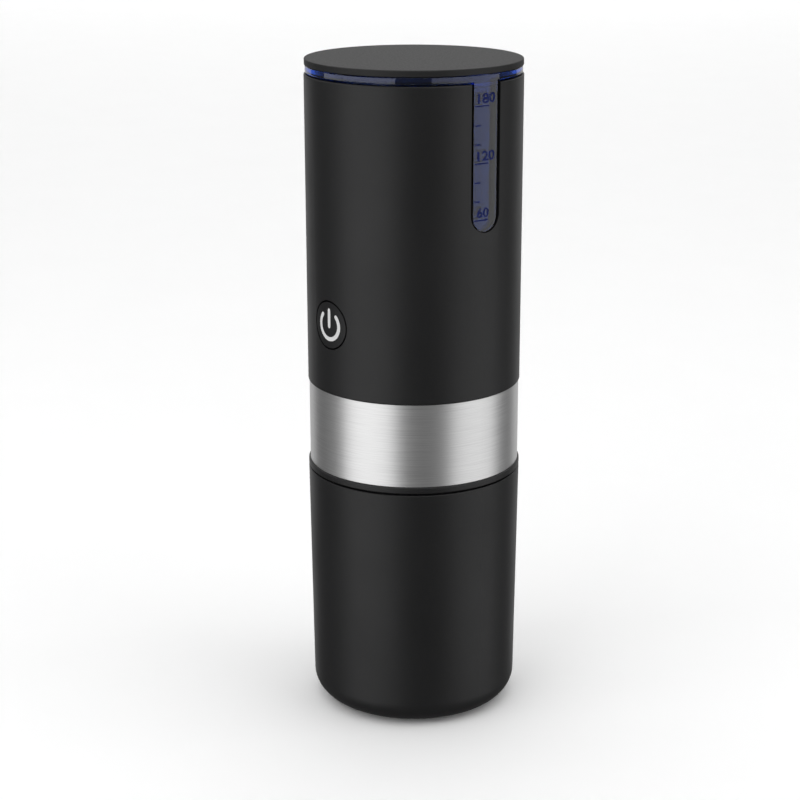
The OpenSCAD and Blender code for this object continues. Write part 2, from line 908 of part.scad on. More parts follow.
// Pocket for the port's cover, holes for its pins and the way in to the socket
module port_pocket() {
  translate([-port_w / 2 - glide, y_pocket, z_port - port_tall / 2 - glide])
    cube([port_w + 2 * glide, shell_r, port_tall + 2 * glide]);
  translate([roll_x, roll_y, z_port - port_tall / 2 - port_pin_l - glide])
    cylinder(r = port_pin_r + run, h = port_tall + 2 * port_pin_l + 2 * glide);
  facing_back(z_port)
    linear_extrude(y_pocket + cut)
      port_outline(socket_w + 2 * glide, socket_tall + 2 * glide);
}

// Flat outline with round ends, as wide as w
module port_outline(w, tall) {
  square([w - tall, tall], center = true);
  for (side = [-1, 1])
    translate([side * (w - tall) / 2, 0])
      circle(d = tall);
}

module water_tank() {
  color(clear_blue)
    difference() {
      union() {
        rotate_extrude() {
          translate([0, z_tank])
            square([tank_r, z_lid - z_tank]);
          ring_section(0, rim_r, z_rim, z_lid, edge_round, edge_round);
        }
        intersection() {
          ring(tank_r - tank_wall / 2, rim_r, z_window, z_rim + rim_h / 2);
          window_slot(window_w - 2 * window_gap, z_window + window_gap_low, z_lid, 0, shell_r);
        }
        at_hose() {
          translate([0, 0, z_tank - tank_neck_h])
            cylinder(r = hose_r, h = tank_neck_h + tank_floor / 2);
          translate([0, 0, z_tank - tank_neck_h - barb_l])
            cylinder(r = barb_r, h = barb_l + tank_neck_h);
        }
      }
      rotate_extrude()
        bowl_section(tank_in_r, tank_in_r, z_tank + tank_floor, z_lid + cut, bowl_round);
      at_hose()
        translate([0, 0, z_tank - tank_neck_h - barb_l - cut])
          cylinder(r = water_r, h = barb_l + tank_neck_h + tank_floor + 2 * cut);
    }
}

module tank_filter() {
  color(steel)
    at_hose()
      translate([0, 0, z_tank + tank_floor])
        difference() {
          cylinder(r = filter_r, h = filter_t);
          around(filter_holes, filter_r / 2, 0)
            translate([0, 0, -cut])
              cylinder(r = filter_hole_r, h = filter_t + 2 * cut);
        }
}

module cup_gasket() {
  color(silicone)
    ring(neck_in_r, neck_r, z_neck, z_under);
}

// Brewing

module brew_head() {
  entry_deg = lug_deg + lug_play_deg;
  color(black)
    difference() {
      rotate_extrude()
        difference() {
          translate([0, z_socket])
            square([brew_r, z_under - z_socket]);
          translate([0, z_socket - cut])
            square([bayonet_r, socket_deep + cut]);
          translate([0, z_lug - glide])
            square([groove_r, lug_h + 2 * glide]);
          translate([0, z_ceiling - cut])
            square([chamber_r, chamber_t + cut]);
        }
      for (i = [0 : lugs - 1])
        rotate([0, 0, lug_step * i + lock_deg + lug_deg / 2 - entry_deg / 2])
          rotate_extrude(angle = entry_deg)
            translate([barrel_r, z_socket - cut])
              square([groove_r + slip - barrel_r, lug_up + cut]);
      at_outlet() {
        translate([0, 0, z_under - spigot_in - outlet_seal_t])
          cylinder(r = spigot_r + slip, h = spigot_in + outlet_seal_t + cut);
        translate([0, 0, z_ceiling])
          cylinder(r = water_r, h = brew_top);
      }
      at_brew_screws()
        screw_hole(screw_r, screw_head_r, brew_screw_l);
    }
}

module brew_head_screws() {
  color(steel)
    at_brew_screws()
      screw(screw_r, screw_head_r, brew_screw_l);
}

module brew_seal() {
  color(silicone)
    ring(seal_in_r, bayonet_r - slip, z_ceiling - brew_seal_t, z_ceiling);
}

module piercing_plate() {
  plate_r = seal_in_r - slip;
  color(steel)
    difference() {
      union() {
        ring(0, plate_r, z_ceiling - plate_t, z_ceiling);
        translate([0, 0, z_ceiling - plate_t - needle_l])
          around(needles, needle_at, needle_turn)
            cylinder(r1 = needle_tip_r, r2 = needle_r, h = needle_l + plate_t / 2);
      }
      translate([0, 0, z_ceiling - plate_t - cut])
        around(2 * needles, needle_at / 2, 0)
          cylinder(r = plate_hole_r, h = plate_t + 2 * cut);
    }
}

module capsule_holder() {
  color(dark_grey)
    difference() {
      union() {
        rotate_extrude() {
          ring_section(0, grip_r, z_grip, z_grip_top, edge_round, 2 * edge_round);
          translate([0, z_grip_top - cut])
            square([barrel_r, z_holder_top - z_grip_top + cut]);
          ring_section(0, spout_r, z_spout, z_grip + cut, 0, edge_round);
        }
        for (i = [0 : lugs - 1])
          rotate([0, 0, lug_step * i])
            rotate_extrude(angle = lug_deg)
              translate([barrel_r - cut, z_lug])
                square([lug_out + cut, lug_h]);
      }
      rotate_extrude() {
        translate([0, z_plate])
          square([capsule_r, z_holder_top - z_plate + cut]);
        translate([0, z_spout - cut])
          square([spout_bore, z_plate - z_spout + 2 * cut]);
      }
      translate([0, 0, z_grip - cut])
        around(flutes, grip_r + flute_r - flute_depth, 0)
          cylinder(r = flute_r, h = z_grip_top - z_grip + 2 * cut);
    }
}

module outlet_plate() {
  plate_r = capsule_r - slip;
  color(steel)
    difference() {
      union() {
        ring(0, plate_r, z_plate, z_chamber);
        for (i = [-peak_rows : peak_rows], j = [-peak_rows : peak_rows])
          translate([peak_pitch * i, peak_pitch * j, z_chamber - plate_t / 2])
            cylinder(r1 = peak_r, r2 = peak_r / 4, h = peak_h + plate_t / 2);
      }
      for (i = [-peak_rows : peak_rows - 1], j = [-peak_rows : peak_rows - 1])
        translate([peak_pitch * (i + 0.5), peak_pitch * (j + 0.5), z_plate - cut])
          cylinder(r = drip_r, h = plate_t + 2 * cut);
    }
}

// Pump

// Plan of the pump: a rounded block around both gears
module pump_plan(r) {
  circle(r);
  translate([0, gear_gap])
    circle(r);
  translate([-r, 0])
    square([2 * r, gear_gap]);
}

module pump_body() {
  color(dark_grey)
    difference() {
      union() {
        translate([0, 0, z_deck])
          linear_extrude(z_cover - z_deck)
            pump_plan(pump_r);
        rotate([0, 0, hose_angle])
          translate([0, 0, z_inlet])
            rotate([0, 90, 0])
              cylinder(r = spigot_r, h = hose_at);
        at_hose() {
          translate([0, 0, z_inlet - spigot_r])
            cylinder(r = inlet_r, h = spigot_r + inlet_r);
          translate([0, 0, z_inlet])
            cylinder(r = barb_r, h = inlet_r + barb_l);
        }
        at_outlet()
          translate([0, 0, z_under - spigot_in])
            cylinder(r = spigot_r, h = deck_t + spigot_in + pump_floor / 2);
      }
      translate([0, 0, z_deck + pump_floor])
        linear_extrude(z_cover - z_deck) {
          circle(pump_bore_r);
          translate([0, gear_gap])
            circle(pump_bore_r);
          for (side = [-1, 1])
            translate([side * port_x, port_y])
              circle(pocket_r);
        }
      at_gears()
        translate([0, 0, z_deck + pump_floor - bush_l])
          cylinder(r = bush_r, h = bush_l + cut);
      rotate([0, 0, hose_angle])
        translate([port_x, 0, z_inlet])
          rotate([0, 90, 0])
            cylinder(r = water_r, h = hose_at - port_x);
      at_hose()
        translate([0, 0, z_inlet - water_r])
          cylinder(r = water_r, h = inlet_r + barb_l + water_r + cut);
      at_outlet()
        translate([0, 0, z_under - spigot_in - cut])
          cylinder(r = water_r, h = deck_t + spigot_in + pump_floor + 2 * cut);
      at_pump_screws()
        screw_hole(small_screw_r, small_head_r, pump_cover_t + small_screw_bite);
    }
}

module pump_cover() {
  color(dark_grey)
    difference() {
      translate([0, 0, z_cover])
        linear_extrude(pump_cover_t)
          pump_plan(pump_r);
      translate([0, 0, z_cover - cut])
        cylinder(r = shaft_r + glide, h = pump_cover_t + 2 * cut);
      translate([0, 0, z_motor - shaft_seal_t])
        cylinder(r = shaft_seal_r, h = shaft_seal_t + cut);
      translate([0, gear_gap, z_cover - cut])
        cylinder(r = bush_r, h = bush_l + cut);
      at_pump_screws()
        screw_hole(small_screw_r, small_head_r, pump_cover_t + small_screw_bite);
      at_motor_screws()
        screw_hole(small_screw_r, small_head_r, pump_cover_t + motor_base);
    }
}

module bush() {
  ring(shaft_r + run, bush_r, 0, bush_l);
}

module pump_bushes() {
  color(brass) {
    at_gears()
      translate([0, 0, z_deck + pump_floor - bush_l])
        bush();
    translate([0, gear_gap, z_cover])
      bush();
  }
}

module pump_screws() {
  color(steel)
    at_pump_screws()
      screw(small_screw_r, small_head_r, pump_cover_t + small_screw_bite);
}

module pump_outlet_seal() {
  color(silicone)
    at_outlet()
      ring(water_r, spigot_r, z_under - spigot_in - outlet_seal_t, z_under - spigot_in);
}

module shaft_seal() {
  color(rubber)
    ring(shaft_r + run, shaft_seal_r, z_motor - shaft_seal_t, z_motor);
}

module suction_hose() {
  color(silicone)
    at_hose()
      ring(hose_in_r, hose_r, z_hose, z_hose_top);
}

// Angle between a radius and the start of the involute, in degrees
function involute(r) = tan(acos(base_r / r)) * 180 / PI - acos(base_r / r);

// Half the angle that a tooth takes up at a radius
function half_tooth(r) =
  90 / gear_teeth + involute(pitch_r) - involute(r) - backlash / (4 * pitch_r) * 180 / PI;

function polar(r, angle) = [r * cos(angle), r * sin(angle)];

flank_steps = 6;
flank_start = max(base_r, gear_root_r);
flank = [for (i = [0 : flank_steps]) flank_start + (gear_out_r - flank_start) * i / flank_steps];

function tooth(angle) = [
  polar(gear_root_r, angle - half_tooth(flank_start)),
  for (r = flank) polar(r, angle - half_tooth(r)),
  for (i = [flank_steps : -1 : 0]) polar(flank[i], angle + half_tooth(flank[i])),
  polar(gear_root_r, angle + half_tooth(flank_start))
];

// Spur gear with a tooth at angle 0
module gear() {
  difference() {
    linear_extrude(gear_w)
      polygon([for (i = [0 : gear_teeth - 1]) each tooth(i * 360 / gear_teeth)]);
    translate([0, 0, -cut])
      cylinder(r = shaft_r, h = gear_w + 2 * cut);
  }
}

module drive_gear() {
  color(brass)
    translate([0, 0, z_gear])
      rotate([0, 0, 90])
        gear();
}

module idler_gear() {
  color(brass)
    translate([0, gear_gap, z_gear])
      rotate([0, 0, -90 + 180 / gear_teeth])
        gear();
}

module idler_shaft() {
  color(steel)
    translate([0, gear_gap, z_shaft])
      cylinder(r = shaft_r, h = z_cover + bush_l - gear_play - z_shaft);
}

// Motor

module motor_can() {
  color(steel)
    difference() {
      translate([0, 0, z_motor])
        cylinder(r = motor_r, h = motor_l);
      translate([0, 0, z_motor + motor_base])
        cylinder(r = motor_in_r, h = motor_l);
      translate([0, 0, z_motor - cut])
        cylinder(r = bush_r, h = motor_base + 2 * cut);
      at_motor_screws()
        screw_hole(small_screw_r, small_head_r, pump_cover_t + motor_base + cut);
    }
}

module motor_endcap() {
  color(black)
    difference() {
      translate([0, 0, z_motor_cap])
        cylinder(r = motor_r, h = motor_cap);
      translate([0, 0, z_motor_cap - cut])
        cylinder(r = bush_r, h = bush_l + cut);
    }
}

module motor_bushes() {
  color(brass) {
    translate([0, 0, z_motor])
      bush();
    translate([0, 0, z_motor_cap])
      bush();
  }
}

module motor_magnets() {
  color(dark_grey)
    for (side = [0, 180])
      rotate([0, 0, side - magnet_deg / 2])
        rotate_extrude(angle = magnet_deg)
          translate([magnet_r - magnet_t, z_magnet])
            square([magnet_t, armature_l + 2 * magnet_over]);
}

// Two brushes that reach down from the end cap to the commutator
module motor_brushes() {
  brush_h = z_motor_cap - z_commutator - slip;
  color(copper)
    for (side = [0, 180])
      rotate([0, 0, side])
        translate([commutator_r + run, -brush_w / 2, z_motor_cap - brush_h])
          cube([brush_t, brush_w, brush_h]);
}

module motor_screws() {
  color(steel)
    at_motor_screws()
      screw(small_screw_r, small_head_r, pump_cover_t + motor_base);
}

module motor_shaft() {
  color(steel)
    translate([0, 0, z_shaft])
      cylinder(r = shaft_r, h = z_motor_cap + bush_l - gear_play - z_shaft);
}

module motor_armature() {
  color(steel)
    difference() {
      union() {
        translate([0, 0, z_armature])
          linear_extrude(armature_l)
            intersection() {
              circle(armature_r);
              union() {
                circle(hub_r);
                for (i = [0 : poles - 1])
                  rotate(360 / poles * i) {
                    translate([0, -pole_neck / 2])
                      square([armature_r, pole_neck]);
                    pole_head();
                  }
              }
            }
        translate([0, 0, z_commutator - cut])
          cylinder(r = commutator_r, h = motor_room + cut);
      }
      translate([0, 0, z_armature - cut])
        cylinder(r = shaft_r, h = armature_l + motor_room + 2 * cut);
    }
}

// Outer shoe of one armature pole
module pole_head() {
  reach = 2 * armature_r;
  intersection() {
    difference() {
      circle(armature_r);
      circle(pole_in_r);
    }
    polygon([[0, 0], polar(reach, -pole_deg / 2), [reach, 0], polar(reach, pole_deg / 2)]);
  }
}

// Coil around the neck of each pole, between the hub and the shoe
module armature_windings() {
  w = pole_neck + 2 * winding_t;
  r_low = hub_r + slip;
  color(copper)
    for (i = [0 : poles - 1])
      rotate([0, 0, 360 / poles * i])
        difference() {
          translate([0, 0, z_armature - winding_t])
            linear_extrude(armature_l + 2 * winding_t)
              intersection() {
                circle(pole_in_r - slip);
                translate([r_low, -w / 2])
                  square([armature_r, w]);
              }
          translate([0, -pole_neck / 2 - slip, z_armature - slip])
            cube([armature_r, pole_neck + 2 * slip, armature_l + 2 * slip]);
        }
}

// Cradle, cells and boards

// Plan of a wall around each cell
module cell_walls() {
  at_cells()
    difference() {
      circle(cell_r + slip + cradle_wall);
      circle(cell_r + slip);
    }
}

// Post that holds the edge of a board whose outer face lies at y
module board_post(side, y, z_board) {
  x0 = board_half - board_grip;
  x1 = board_half + slip + post_wall;
  y0 = y - board_t - post_wall;
  y1 = y + post_wall / 2;
  mirror([side < 0 ? 1 : 0, 0, 0])
    difference() {
      translate([x0, y0, z_deck + cradle_t / 2])
        cube([x1 - x0, y1 - y0, z_cradle_top - z_deck - cradle_t / 2]);
      translate([x0 - cut, y - board_t - slip, z_board - slip])
        cube([board_grip + cut + slip, board_t + 2 * slip, z_cradle_top]);
    }
}

module cradle_base() {
  color(dark_grey)
    difference() {
      union() {
        translate([0, 0, z_deck])
          linear_extrude(cradle_t)
            difference() {
              circle(bay_r);
              pump_plan(pump_r + glide);
              around(ring_screws, boss_at, frame_screw_turn)
                circle(boss_r + glide);
            }
        translate([0, 0, z_deck + cradle_t - cut])
          linear_extrude(cradle_grip + cut)
            cell_walls();
        for (side = [-1, 1]) {
          board_post(side, y_back_board, z_control_board);
          mirror([0, 1, 0])
            board_post(side, y_front_board, z_switch_board);
        }
      }
      at_cradle_screws()
        translate([0, 0, z_cradle_top - small_screw_bite])
          cylinder(r = small_screw_r + slip, h = small_screw_bite + cut);
    }
}

module cradle_top() {
  color(dark_grey)
    difference() {
      union() {
        translate([0, 0, z_cradle_top])
          linear_extrude(cradle_t)
            circle(bay_r);
        translate([0, 0, z_cradle_top - cradle_grip])
          linear_extrude(cradle_grip + cut)
            cell_walls();
      }
      at_hose()
        translate([0, 0, z_cradle_top - cut])
          cylinder(r = hose_r + glide, h = cradle_t + 2 * cut);
      translate([0, 0, z_cradle_top + cradle_t])
        mirror([0, 0, 1])
          at_cradle_screws()
            screw_hole(small_screw_r, small_head_r, cradle_t + small_screw_bite);
    }
}

module cradle_screws() {
  color(steel)
    translate([0, 0, z_cradle_top + cradle_t])
      mirror([0, 0, 1])
        at_cradle_screws()
          screw(small_screw_r, small_head_r, cradle_t + small_screw_bite - glide);
}

module battery_cell() {
  translate([0, 0, z_cell])
    cylinder(r = cell_r, h = cell_l - pole_h);
  translate([0, 0, z_cell])
    cylinder(r = pole_r, h = cell_l);
}

module battery_cell_left() {
  color(cell_wrap)
    translate([-cell_x, 0, 0])
      battery_cell();
}

module battery_cell_right() {
  color(cell_wrap)
    translate([cell_x, 0, 0])
      battery_cell();
}

module cell_contacts() {
  color(nickel)
    at_cells() {
      translate([0, 0, z_cell - contact_t])
        cylinder(r = cell_r - contact_rim, h = contact_t);
      translate([0, 0, z_cell + cell_l])
        cylinder(r = pole_r + contact_rim, h = contact_t);
    }
}

module board(y, z_low) {
  translate([-board_half, y - board_t, z_low])
    cube([2 * board_half, board_t, board_top - z_low]);
}

module control_board() {
  color(board_green)
    board(y_back_board, z_control_board);
}

// Chips, a coil and a capacitor on the inner face of the control board
module board_chips() {
  row = chip_side + chip_gap;
  y_face = y_back_board - board_t;
  z_row = board_top - row;
  color(dark_grey) {
    translate([-chip_side / 2, y_face - chip_t, z_row])
      cube([chip_side, chip_t, chip_side]);
    translate([-coil_side / 2, y_face - coil_t, z_row - row])
      cube([coil_side, coil_t, coil_side]);
    translate([capacitor_r / 2 - row, y_face, z_row - row / 2])
      rotate([90, 0, 0])
        cylinder(r = capacitor_r, h = capacitor_l);
  }
}

module charging_socket() {
  mouth_l = socket_l - socket_back;
  color(steel)
    facing_back(z_port) {
      difference() {
        translate([0, 0, y_back_board])
          linear_extrude(socket_l)
            port_outline(socket_w, socket_tall);
        translate([0, 0, y_socket - mouth_l])
          linear_extrude(mouth_l + cut)
            port_outline(socket_w - 2 * socket_sheet, socket_tall - 2 * socket_sheet);
      }
      translate([0, 0, y_socket - mouth_l - cut])
        linear_extrude(mouth_l + cut - tongue_short)
          square([socket_w - socket_tall, tongue_t], center = true);
    }
}

module switch_board() {
  color(board_green)
    mirror([0, 1, 0])
      board(y_front_board, z_switch_board);
}

module power_switch() {
  color(black)
    facing_front(z_button)
      difference() {
        translate([0, 0, y_front_board])
          linear_extrude(switch_h)
            square(switch_side, center = true);
        translate([0, 0, y_switch - plunger_bore])
          cylinder(r = plunger_r + run, h = plunger_bore + cut);
      }
}

// Button

// Power symbol: an open ring with round ends and an upright bar
module icon_plan() {
  difference() {
    circle(icon_r);
    circle(icon_r - icon_line);
    polygon([
      [0, 0],
      polar(2 * icon_r, 90 - icon_open),
      [0, 2 * icon_r],
      polar(2 * icon_r, 90 + icon_open)
    ]);
  }
  for (side = [-1, 1])
    translate(polar(icon_mid_r, 90 + side * icon_open))
      circle(d = icon_end_d);
  translate([-icon_line / 2, -icon_bar_low])
    square([icon_line, icon_bar_high + icon_bar_low]);
  for (y = [-icon_bar_low, icon_bar_high])
    translate([0, y])
      circle(d = icon_end_d);
}

module icon_block() {
  y_icon = sqrt(pow(shell_r, 2) - pow(icon_r, 2)) - icon_depth;
  facing_front(z_button)
    translate([0, 0, y_icon])
      linear_extrude(shell_r)
        icon_plan();
}

module power_button() {
  color(black)
    difference() {
      union() {
        intersection() {
          facing_front(z_button)
            translate([0, 0, y_stem])
              cylinder(r = button_r, h = shell_r);
          cylinder(r = shell_r, h = z_top);
        }
        facing_front(z_button)
          translate([0, 0, y_stem])
            cylinder(r = button_flange_r, h = button_flange_t);
        facing_front(z_button)
          translate([0, 0, y_plunger])
            cylinder(r = button_stem_r, h = button_stem + button_flange_t / 2);
      }
      icon_block();
    }
}

module button_icon() {
  color(white_light)
    intersection() {
      icon_block();
      cylinder(r = shell_r, h = z_top);
    }
}

module switch_plunger() {
  color(rubber)
    facing_front(z_button)
      translate([0, 0, y_switch - plunger_in])
        cylinder(r = plunger_r, h = plunger_in + plunger_proud);
}

// Charging port's cover: flush outside, with a web to the hinge roll and pins on one side
module port_cover() {
  web = 2 * port_roll_r;
  color(black) {
    intersection() {
      translate([roll_x + web, y_flap, z_port - port_tall / 2])
        cube([port_w / 2 - roll_x - web, shell_r, port_tall]);
      cylinder(r = shell_r, h = z_top);
    }
    translate([roll_x, y_flap, z_port - port_tall / 2])
      cube([web + cut, 1.5 * port_roll_r, port_tall]);
    translate([roll_x, roll_y, z_port - port_tall / 2])
      cylinder(r = port_roll_r, h = port_tall);
    translate([roll_x, roll_y, z_port - port_tall / 2 - port_pin_l])
      cylinder(r = port_pin_r, h = port_tall + 2 * port_pin_l);
  }
}

// Lid

module lid() {
  color(black)
    difference() {
      rotate_extrude()
        ring_section(0, lid_r, z_lid, z_top, lid_round, edge_round / 2);
      at_lid_screws()
        screw_hole(small_screw_r, small_head_r, lid_screw_l);
    }
}

module lid_plug() {
  color(dark_grey)
    difference() {
      rotate_extrude()
        difference() {
          ring_section(0, plug_r, z_plug, z_lid, 0, edge_round);
          translate([lid_groove_r, z_plug + plug_h / 2 - lid_seal_d / 2 - slip])
            square([plug_r, lid_seal_d + 2 * slip]);
        }
      at_lid_screws()
        screw_hole(small_screw_r, small_head_r, lid_screw_l);
    }
}

module lid_seal() {
  color(silicone)
    rotate_extrude()
      translate([lid_seal_at, z_plug + plug_h / 2])
        circle(d = lid_seal_d);
}

module lid_screws() {
  color(steel)
    at_lid_screws()
      screw(small_screw_r, small_head_r, lid_screw_l);
}

cup_shell();
cup_liner();
foot_pad();
base_collar();
steel_band();
inner_frame();
frame_screws();
upper_shell();
water_tank();
tank_filter();
cup_gasket();
brew_head();
brew_head_screws();
brew_seal();
piercing_plate();
pump_body();
pump_cover();
pump_bushes();
pump_screws();
pump_outlet_seal();
shaft_seal();
suction_hose();
motor_can();
motor_endcap();
motor_magnets();
motor_bushes();
motor_brushes();
motor_screws();
cradle_base();
cradle_top();
cradle_screws();
battery_cell_left();
battery_cell_right();
cell_contacts();
control_board();
board_chips();
charging_socket();
switch_board();
power_switch();
motor_shaft();
motor_armature();
armature_windings();
drive_gear();
idler_shaft();
idler_gear();
lid();
lid_plug();
lid_seal();
lid_screws();
power_button();
button_icon();
switch_plunger();
capsule_holder();
outlet_plate();
port_cover();
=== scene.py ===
"""Looks of a portable coffee machine: the finish of each piece, its level marks and a studio.

The machine stands on the origin with +Z up. Its button faces -Y, its water window +X and its
charging port +Y. Lengths are in metres.
"""

import math
from typing import NamedTuple

import bmesh
import bpy
from bpy.props import FloatProperty, FloatVectorProperty, IntProperty, PointerProperty
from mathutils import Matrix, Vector


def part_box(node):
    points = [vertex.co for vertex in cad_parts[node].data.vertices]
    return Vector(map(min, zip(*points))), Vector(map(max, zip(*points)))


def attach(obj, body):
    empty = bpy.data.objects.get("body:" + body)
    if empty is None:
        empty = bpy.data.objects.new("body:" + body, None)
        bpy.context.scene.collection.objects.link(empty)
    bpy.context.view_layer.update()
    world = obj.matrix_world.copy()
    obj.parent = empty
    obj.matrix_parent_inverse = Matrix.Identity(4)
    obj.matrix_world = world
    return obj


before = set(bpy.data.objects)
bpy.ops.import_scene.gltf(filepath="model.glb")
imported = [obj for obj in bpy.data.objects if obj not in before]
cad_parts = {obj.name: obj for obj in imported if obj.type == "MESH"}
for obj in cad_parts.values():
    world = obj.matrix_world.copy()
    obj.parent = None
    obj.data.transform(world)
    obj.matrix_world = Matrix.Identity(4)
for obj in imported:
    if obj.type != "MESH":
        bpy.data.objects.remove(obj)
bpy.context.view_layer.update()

bl_info = {
    "name": "Portable coffee machine looks",
    "version": (1, 0, 0),
    "blender": (4, 5, 0),
    "location": "View3D > Sidebar > Brewer",
    "description": "Finishes, level marks and studio of a portable coffee machine",
    "category": "Object",
}

MM = 0.001
MILLILITRE = 1e-6
# A wave texture of scale 1 repeats after this length
WAVE = math.tau / 20
# Numbers start as letters 1 unit high: half their thickness, how far their strokes are swollen,
# the steps in each curve, and the gap below which their points are joined
LETTER_HALF = 0.5
LETTER_SWELL = 0.018
LETTER_STEPS = 4
LETTER_JOIN = 1e-5
LINE_STEPS = 8
SWEEP_STEPS = 12
FLOOR_STEPS = 96
SENSOR_WIDTH = 36.0
OVERHEAD_HEIGHT = 2.6
OVERHEAD_BEHIND = 1.2
OVERHEAD_SIZE = 6.0


class LightPanel(NamedTuple):
    """An upright light: its turn from the camera to the right in degrees, its distance from the
    machine's axis, its size and the height of its middle."""

    turn: float
    distance: float
    width: float
    height: float
    middle: float


# The strips are thin and stand where the tank's polished rim mirrors them, so they hardly show in
# the duller pieces
PANELS = {
    "left_softbox": LightPanel(turn=-49.0, distance=0.8, width=0.92, height=1.7, middle=0.35),
    "right_softbox": LightPanel(turn=69.5, distance=0.8, width=0.9, height=1.7, middle=0.35),
    "back_panel": LightPanel(turn=180.0, distance=3.2, width=6.0, height=4.0, middle=0.3),
    "left_strip": LightPanel(turn=-92.5, distance=0.8, width=0.384, height=0.026, middle=0.119),
    "right_strip": LightPanel(turn=29.0, distance=0.8, width=0.314, height=0.026, middle=0.119),
}


def linear(hex_colour):
    """An sRGB hex colour as linear red, green, blue and alpha."""
    channels = [int(hex_colour[i:i + 2], 16) / 255 for i in (1, 3, 5)]
    return [c / 12.92 if c <= 0.04045 else ((c + 0.055) / 1.055) ** 2.4 for c in channels] + [1.0]


def length(name, description, millimetres):
    """A size in the sidebar, given in millimetres."""
    return FloatProperty(
        name=name, description=description, default=millimetres * MM, min=0.0, precision=5,
        subtype="DISTANCE", unit="LENGTH",
    )


def colour(name, description, hex_colour):
    """A colour in the sidebar, given as sRGB hex."""
    return FloatVectorProperty(
        name=name, description=description, default=linear(hex_colour), size=4, min=0.0, max=1.0,
        subtype="COLOR",
    )


class BrewerSizes(bpy.types.PropertyGroup):
    """Sizes of the level marks and of the grain of each finish"""

    tank_radius: length("Tank radius", "Inner radius of the water tank", 32.4)
    tank_outside: length("Tank outside", "Outer radius of the water tank's wall", 33.9)
    window_width: length("Window width", "Width of the clear window", 9.8)
    window_low: length("Window low", "Height of the clear window's lower end", 171.05)
    # How far the black painted shade on the window's narrow sides and the rim's inner face reaches
    # past their edges
    paint_wrap: length("Paint wrap", "How far paint laps round the window's edges", 0.05)
    digit_height: length("Digit height", "Height of the numbers on the window", 3.2)
    digit_rise: length("Digit rise", "Gap from a numbered line up to its number", 0.9)
    digit_inset: length("Digit inset", "From the window's edge to the numbers", 1.5)
    digit_width: length("Digit width", "Width that each digit takes up", 2.4)
    mark_line: length("Mark line", "Thickness of the level lines", 0.4)
    mark_inset: length("Mark inset", "From the window's edge to the level lines", 0.5)
    long_mark: length("Long mark", "Length of the numbered lines", 5.5)
    short_mark: length("Short mark", "Length of the lines between them", 2.2)
    mark_proud: length("Mark height", "How far the marks stand out from the window", 0.06)
    lacquer_grit: length("Lacquer grit", "Grain of the soft-touch lacquer", 0.45)
    lid_grain: length("Lid grain", "Spark-eroded grain of the lid", 0.7)
    hand_patch: length("Hand patch", "Width of the duller patches that hands leave", 28.0)
    brush_pitch: length("Brush pitch", "Spacing of the brush lines on the band", 0.22)
    brush_run: length("Brush run", "Length of a brush line on the band", 16.0)
    flow_mark: length("Flow mark", "Width of the flow marks in the clear tank", 12.0)
    mould_grain: length("Mould grain", "Spark-eroded grain of the inner mouldings", 0.5)
    fibre: length("Fibre", "Length of the glass fibres that show on filled nylon", 1.2)
    tool_pitch: length("Tool pitch", "Spacing of the tool marks on turned metal", 0.2)
    tool_run: length("Tool run", "Length of a tool mark on turned metal", 4.0)
    lamination: length("Lamination", "Thickness of the armature's sheets", 0.5)
    wire: length("Wire", "Thickness of the windings' wire", 0.35)
    track_pitch: length("Track pitch", "Spacing of the tracks on the circuit boards", 1.27)
    track_block: length("Track block", "Width of a block of tracks that run one way", 6.0)
    track_step: length("Track step", "How far the tracks stand out under the green", 0.05)
    wrap_fold: length("Wrap fold", "Radius of bare metal inside a cell's folded wrap", 5.4)
    wrap_crease: length("Wrap crease", "Depth of the creases in a cell's wrap", 0.1)


class BrewerColours(bpy.types.PropertyGroup):
    """Colours of each finish"""

    lacquer: colour("Lacquer", "Soft-touch black of the shells", "#141415")
    steel: colour("Steel", "Stainless steel", "#e3e3e3")
    tank: colour("Tank", "Surface of the clear tank", "#86aef4")
    tank_depth: colour("Tank depth", "Tint that deepens with the tank's thickness", "#6fb0ea")
    ink: colour("Ink", "Dark blue of the level marks", "#0c1a52")
    light_guide: colour("Light guide", "Pale plastic of the power symbol", "#c9c9c9")
    polypropylene: colour("Polypropylene", "Charcoal of the pieces that touch coffee", "#2b2c2f")
    nylon: colour("Nylon", "Dark grey of the frame, cradle and pump", "#2f3034")
    fibre: colour("Fibre", "Glass fibres at the surface of that nylon", "#4b4d52")
    rubber: colour("Rubber", "Black of the foot and the shaft seal", "#1e1e1f")
    silicone: colour("Silicone", "Grey of the seals and the hose", "#8d9196")
    zinc: colour("Zinc", "Plated can of the motor", "#aeb1b3")
    bronze: colour("Bronze", "Sintered bushes", "#9a7446")
    brass: colour("Brass", "Cut gears", "#c39b52")
    nickel: colour("Nickel", "Contacts of the cells and the charging socket", "#c6c2b8")
    copper: colour("Copper", "Windings and brushes", "#b4652f")
    board: colour("Board", "Green of the circuit boards", "#123b26")
    track: colour("Track", "Tracks under that green", "#2a6a43")
    chip: colour("Chip", "Epoxy of the chips", "#1b1c1e")
    cell: colour("Cell", "Wrap of the battery cells", "#2c5a98")
    ferrite: colour("Ferrite", "Magnets of the motor", "#2b2c2e")
    ground: colour("Ground", "Pale floor of the studio", "#fdfdfd")


class BrewerScale(bpy.types.PropertyGroup):
    """Volumes of the level marks, in millilitres"""

    lowest: IntProperty(name="Lowest", description="Volume at the lowest line", default=60)
    highest: IntProperty(name="Highest", description="Volume at the highest line", default=180)
    step: IntProperty(name="Step", description="Volume from line to line", default=20)
    numbered: IntProperty(name="Numbered", description="Volume from number to number", default=60)


